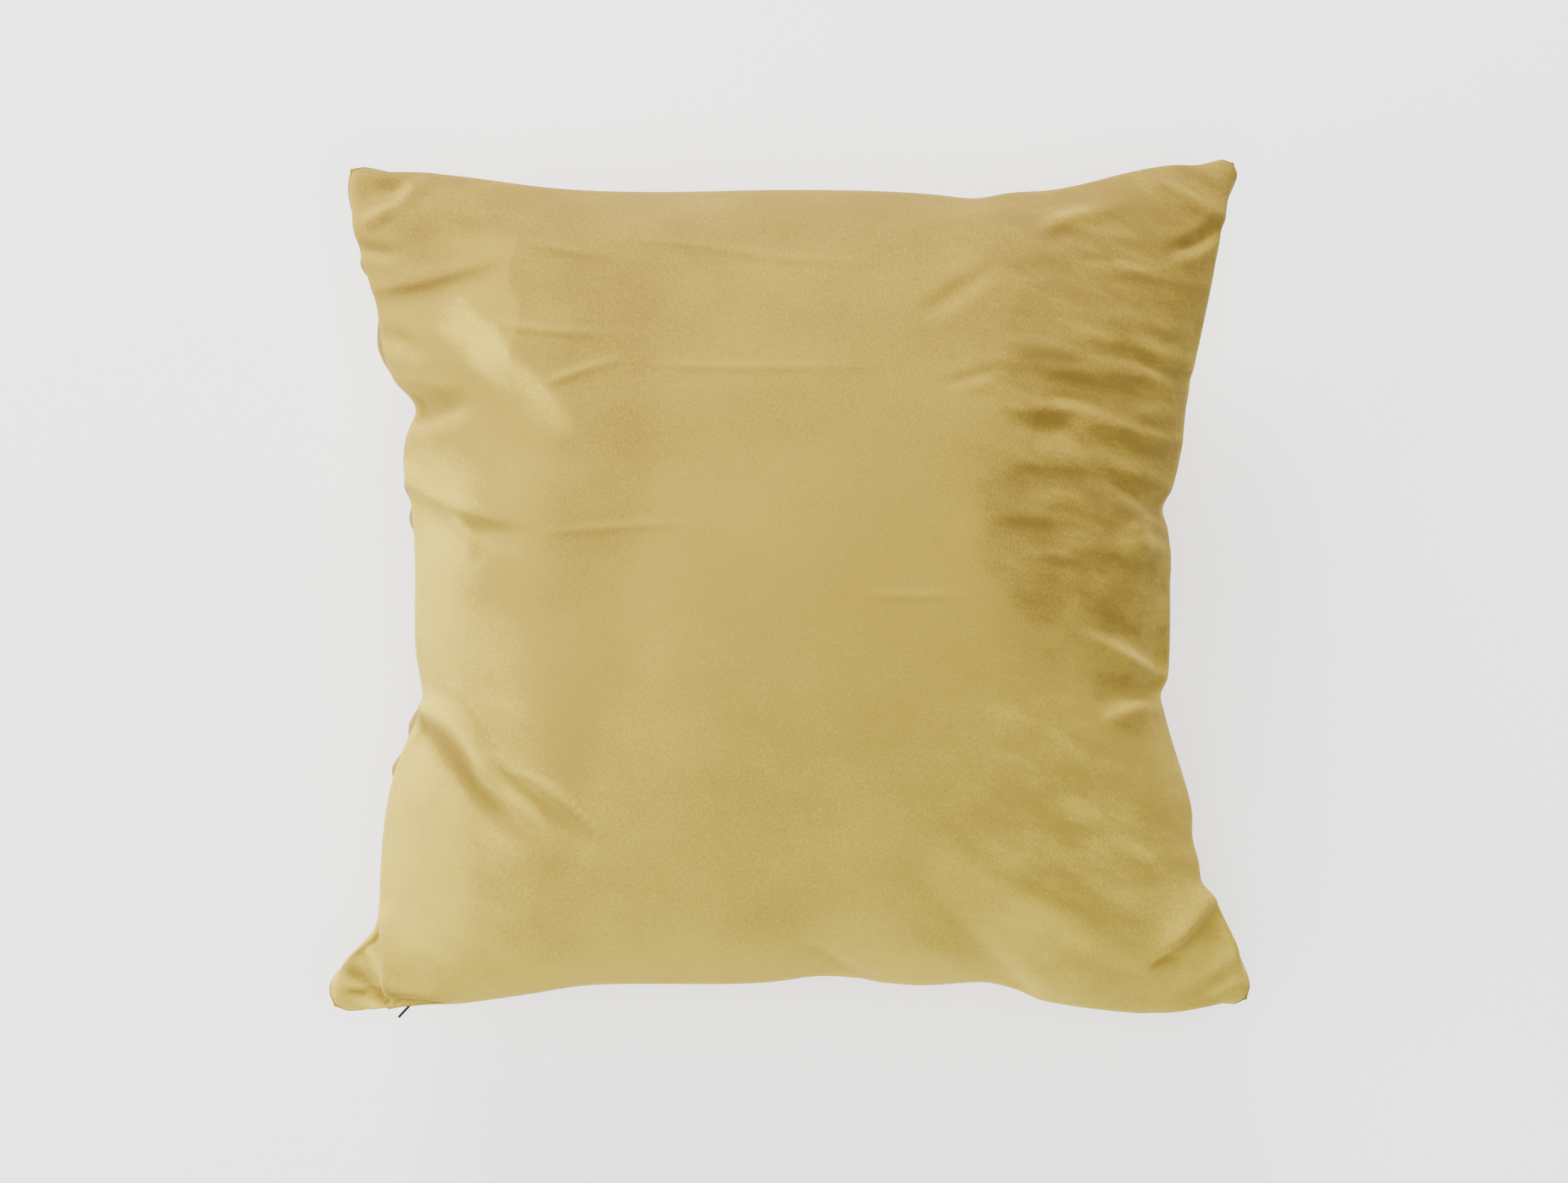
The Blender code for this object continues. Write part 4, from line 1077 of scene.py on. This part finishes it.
def build_label(back):
    """A blank ribbon sewn to the inside of the back panel, its free edge curling up."""
    up, across = cloth_lines(FINE_ROWS), cloth_lines(FINE_COLUMNS, MIDDLE_STRETCH)
    rows = np.flatnonzero((up > LABEL_UP[0]) & (up < LABEL_UP[1]))
    columns = np.flatnonzero((across > LABEL_ACROSS[0]) & (across < LABEL_ACROSS[1]))
    patch = back[rows[0] : rows[-1] + 1, columns[0] : columns[-1] + 1]
    fine = np.linspace(0, 1, LABEL_LINES)
    patch, lift = refine(patch, fine, fine), refine(normals_of(patch), fine, fine)
    away = (LABEL_OFF + LABEL_CURL * smooth(0.45, 0.0, fine) + LABEL_RIPPLE * np.sin(fine * 9)) * MM
    ribbon = patch + away[None, :, None] * lift
    made = shell("blank_label", ribbon, LABEL_THICKNESS)
    finish_piece(made, satin(), "care_label")
    middle = LABEL_LINES // 2
    width, length = (
        round(np.linalg.norm(np.diff(line, axis=0), axis=1).sum(), 4)
        for line in (ribbon[middle], ribbon[:, middle])
    )


def build_tape(way, name, look):
    """A woven tape with a slight ripple that grows towards its free edge."""
    low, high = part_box("zipper_tape_" + name)
    length, width = high.x - low.x, high.z - low.z
    run, rise = np.meshgrid(np.linspace(low.x, high.x, TAPE_COLUMNS), np.linspace(low.z, high.z, TAPE_ROWS))
    free = np.abs(rise - SEAM_Z) / width
    ripple = sum(height * free * np.sin(run / wave + shift * way) for height, wave, shift in TAPE_RIPPLES)
    sheet = np.dstack([run, low.y + TAPE_DEPTH + ripple, rise])
    made = shell("zip_tape_" + name, sheet, -TAPE_THICKNESS)
    finish_piece(made, look, "zipper_tape_" + name)


def build_coil(way, name, look):
    """Teeth wound from one nylon wire."""
    low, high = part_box("zipper_coil_" + name)
    turns = round((high.x - low.x) / COIL_PITCH)
    angle = np.linspace(0, 2 * pi * turns, turns * COIL_STEPS + 1)
    centre, reach = (low + high) / 2, (high.z - low.z) / 2 - COIL_WIRE
    x = np.linspace(low.x + COIL_WIRE, high.x - COIL_WIRE, len(angle))
    coil = np.column_stack([x, centre.y + reach * np.cos(angle), centre.z + way * reach * np.sin(angle)])
    made = tube("zip_coil_" + name, coil, COIL_WIRE)
    finish_piece(made, look, "zipper_coil_" + name)


def build_zip():
    """Tapes and coils, and better metal on the CAD's own slider, stops and pull."""
    tape = woven("zip_tape_weave", (0.20, 0.135, 0.022), (0.40, 0.285, 0.060), 0.35 * MM, radians(45), 0.8)
    teeth = nylon()
    for way, name in ((1, "front"), (-1, "back")):
        build_tape(way, name, tape)
        build_coil(way, name, teeth)
    plated = metal("plated_zinc", (0.20, 0.17, 0.12), (0.42, 0.36, 0.25), 0.32)
    black = metal("black_enamel", (0.004, 0.004, 0.004), (0.012, 0.011, 0.010), 0.42, 0.0)
    for node in ("zipper_slider", "zipper_top_stop_front", "zipper_top_stop_back", "zipper_bottom_stop"):
        repaint(node, plated)
    repaint("zipper_pull", black)


def repaint(node, look):
    """Puts a better material in a CAD node's own slots."""
    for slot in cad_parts[node].material_slots:
        slot.material = look


camera()
cover = shaped_cover()
build_cover(*cover)
build_cover_stitching(cover[0])
build_insert(cover)
build_label(cover[1])
build_zip()
stage()
lights()
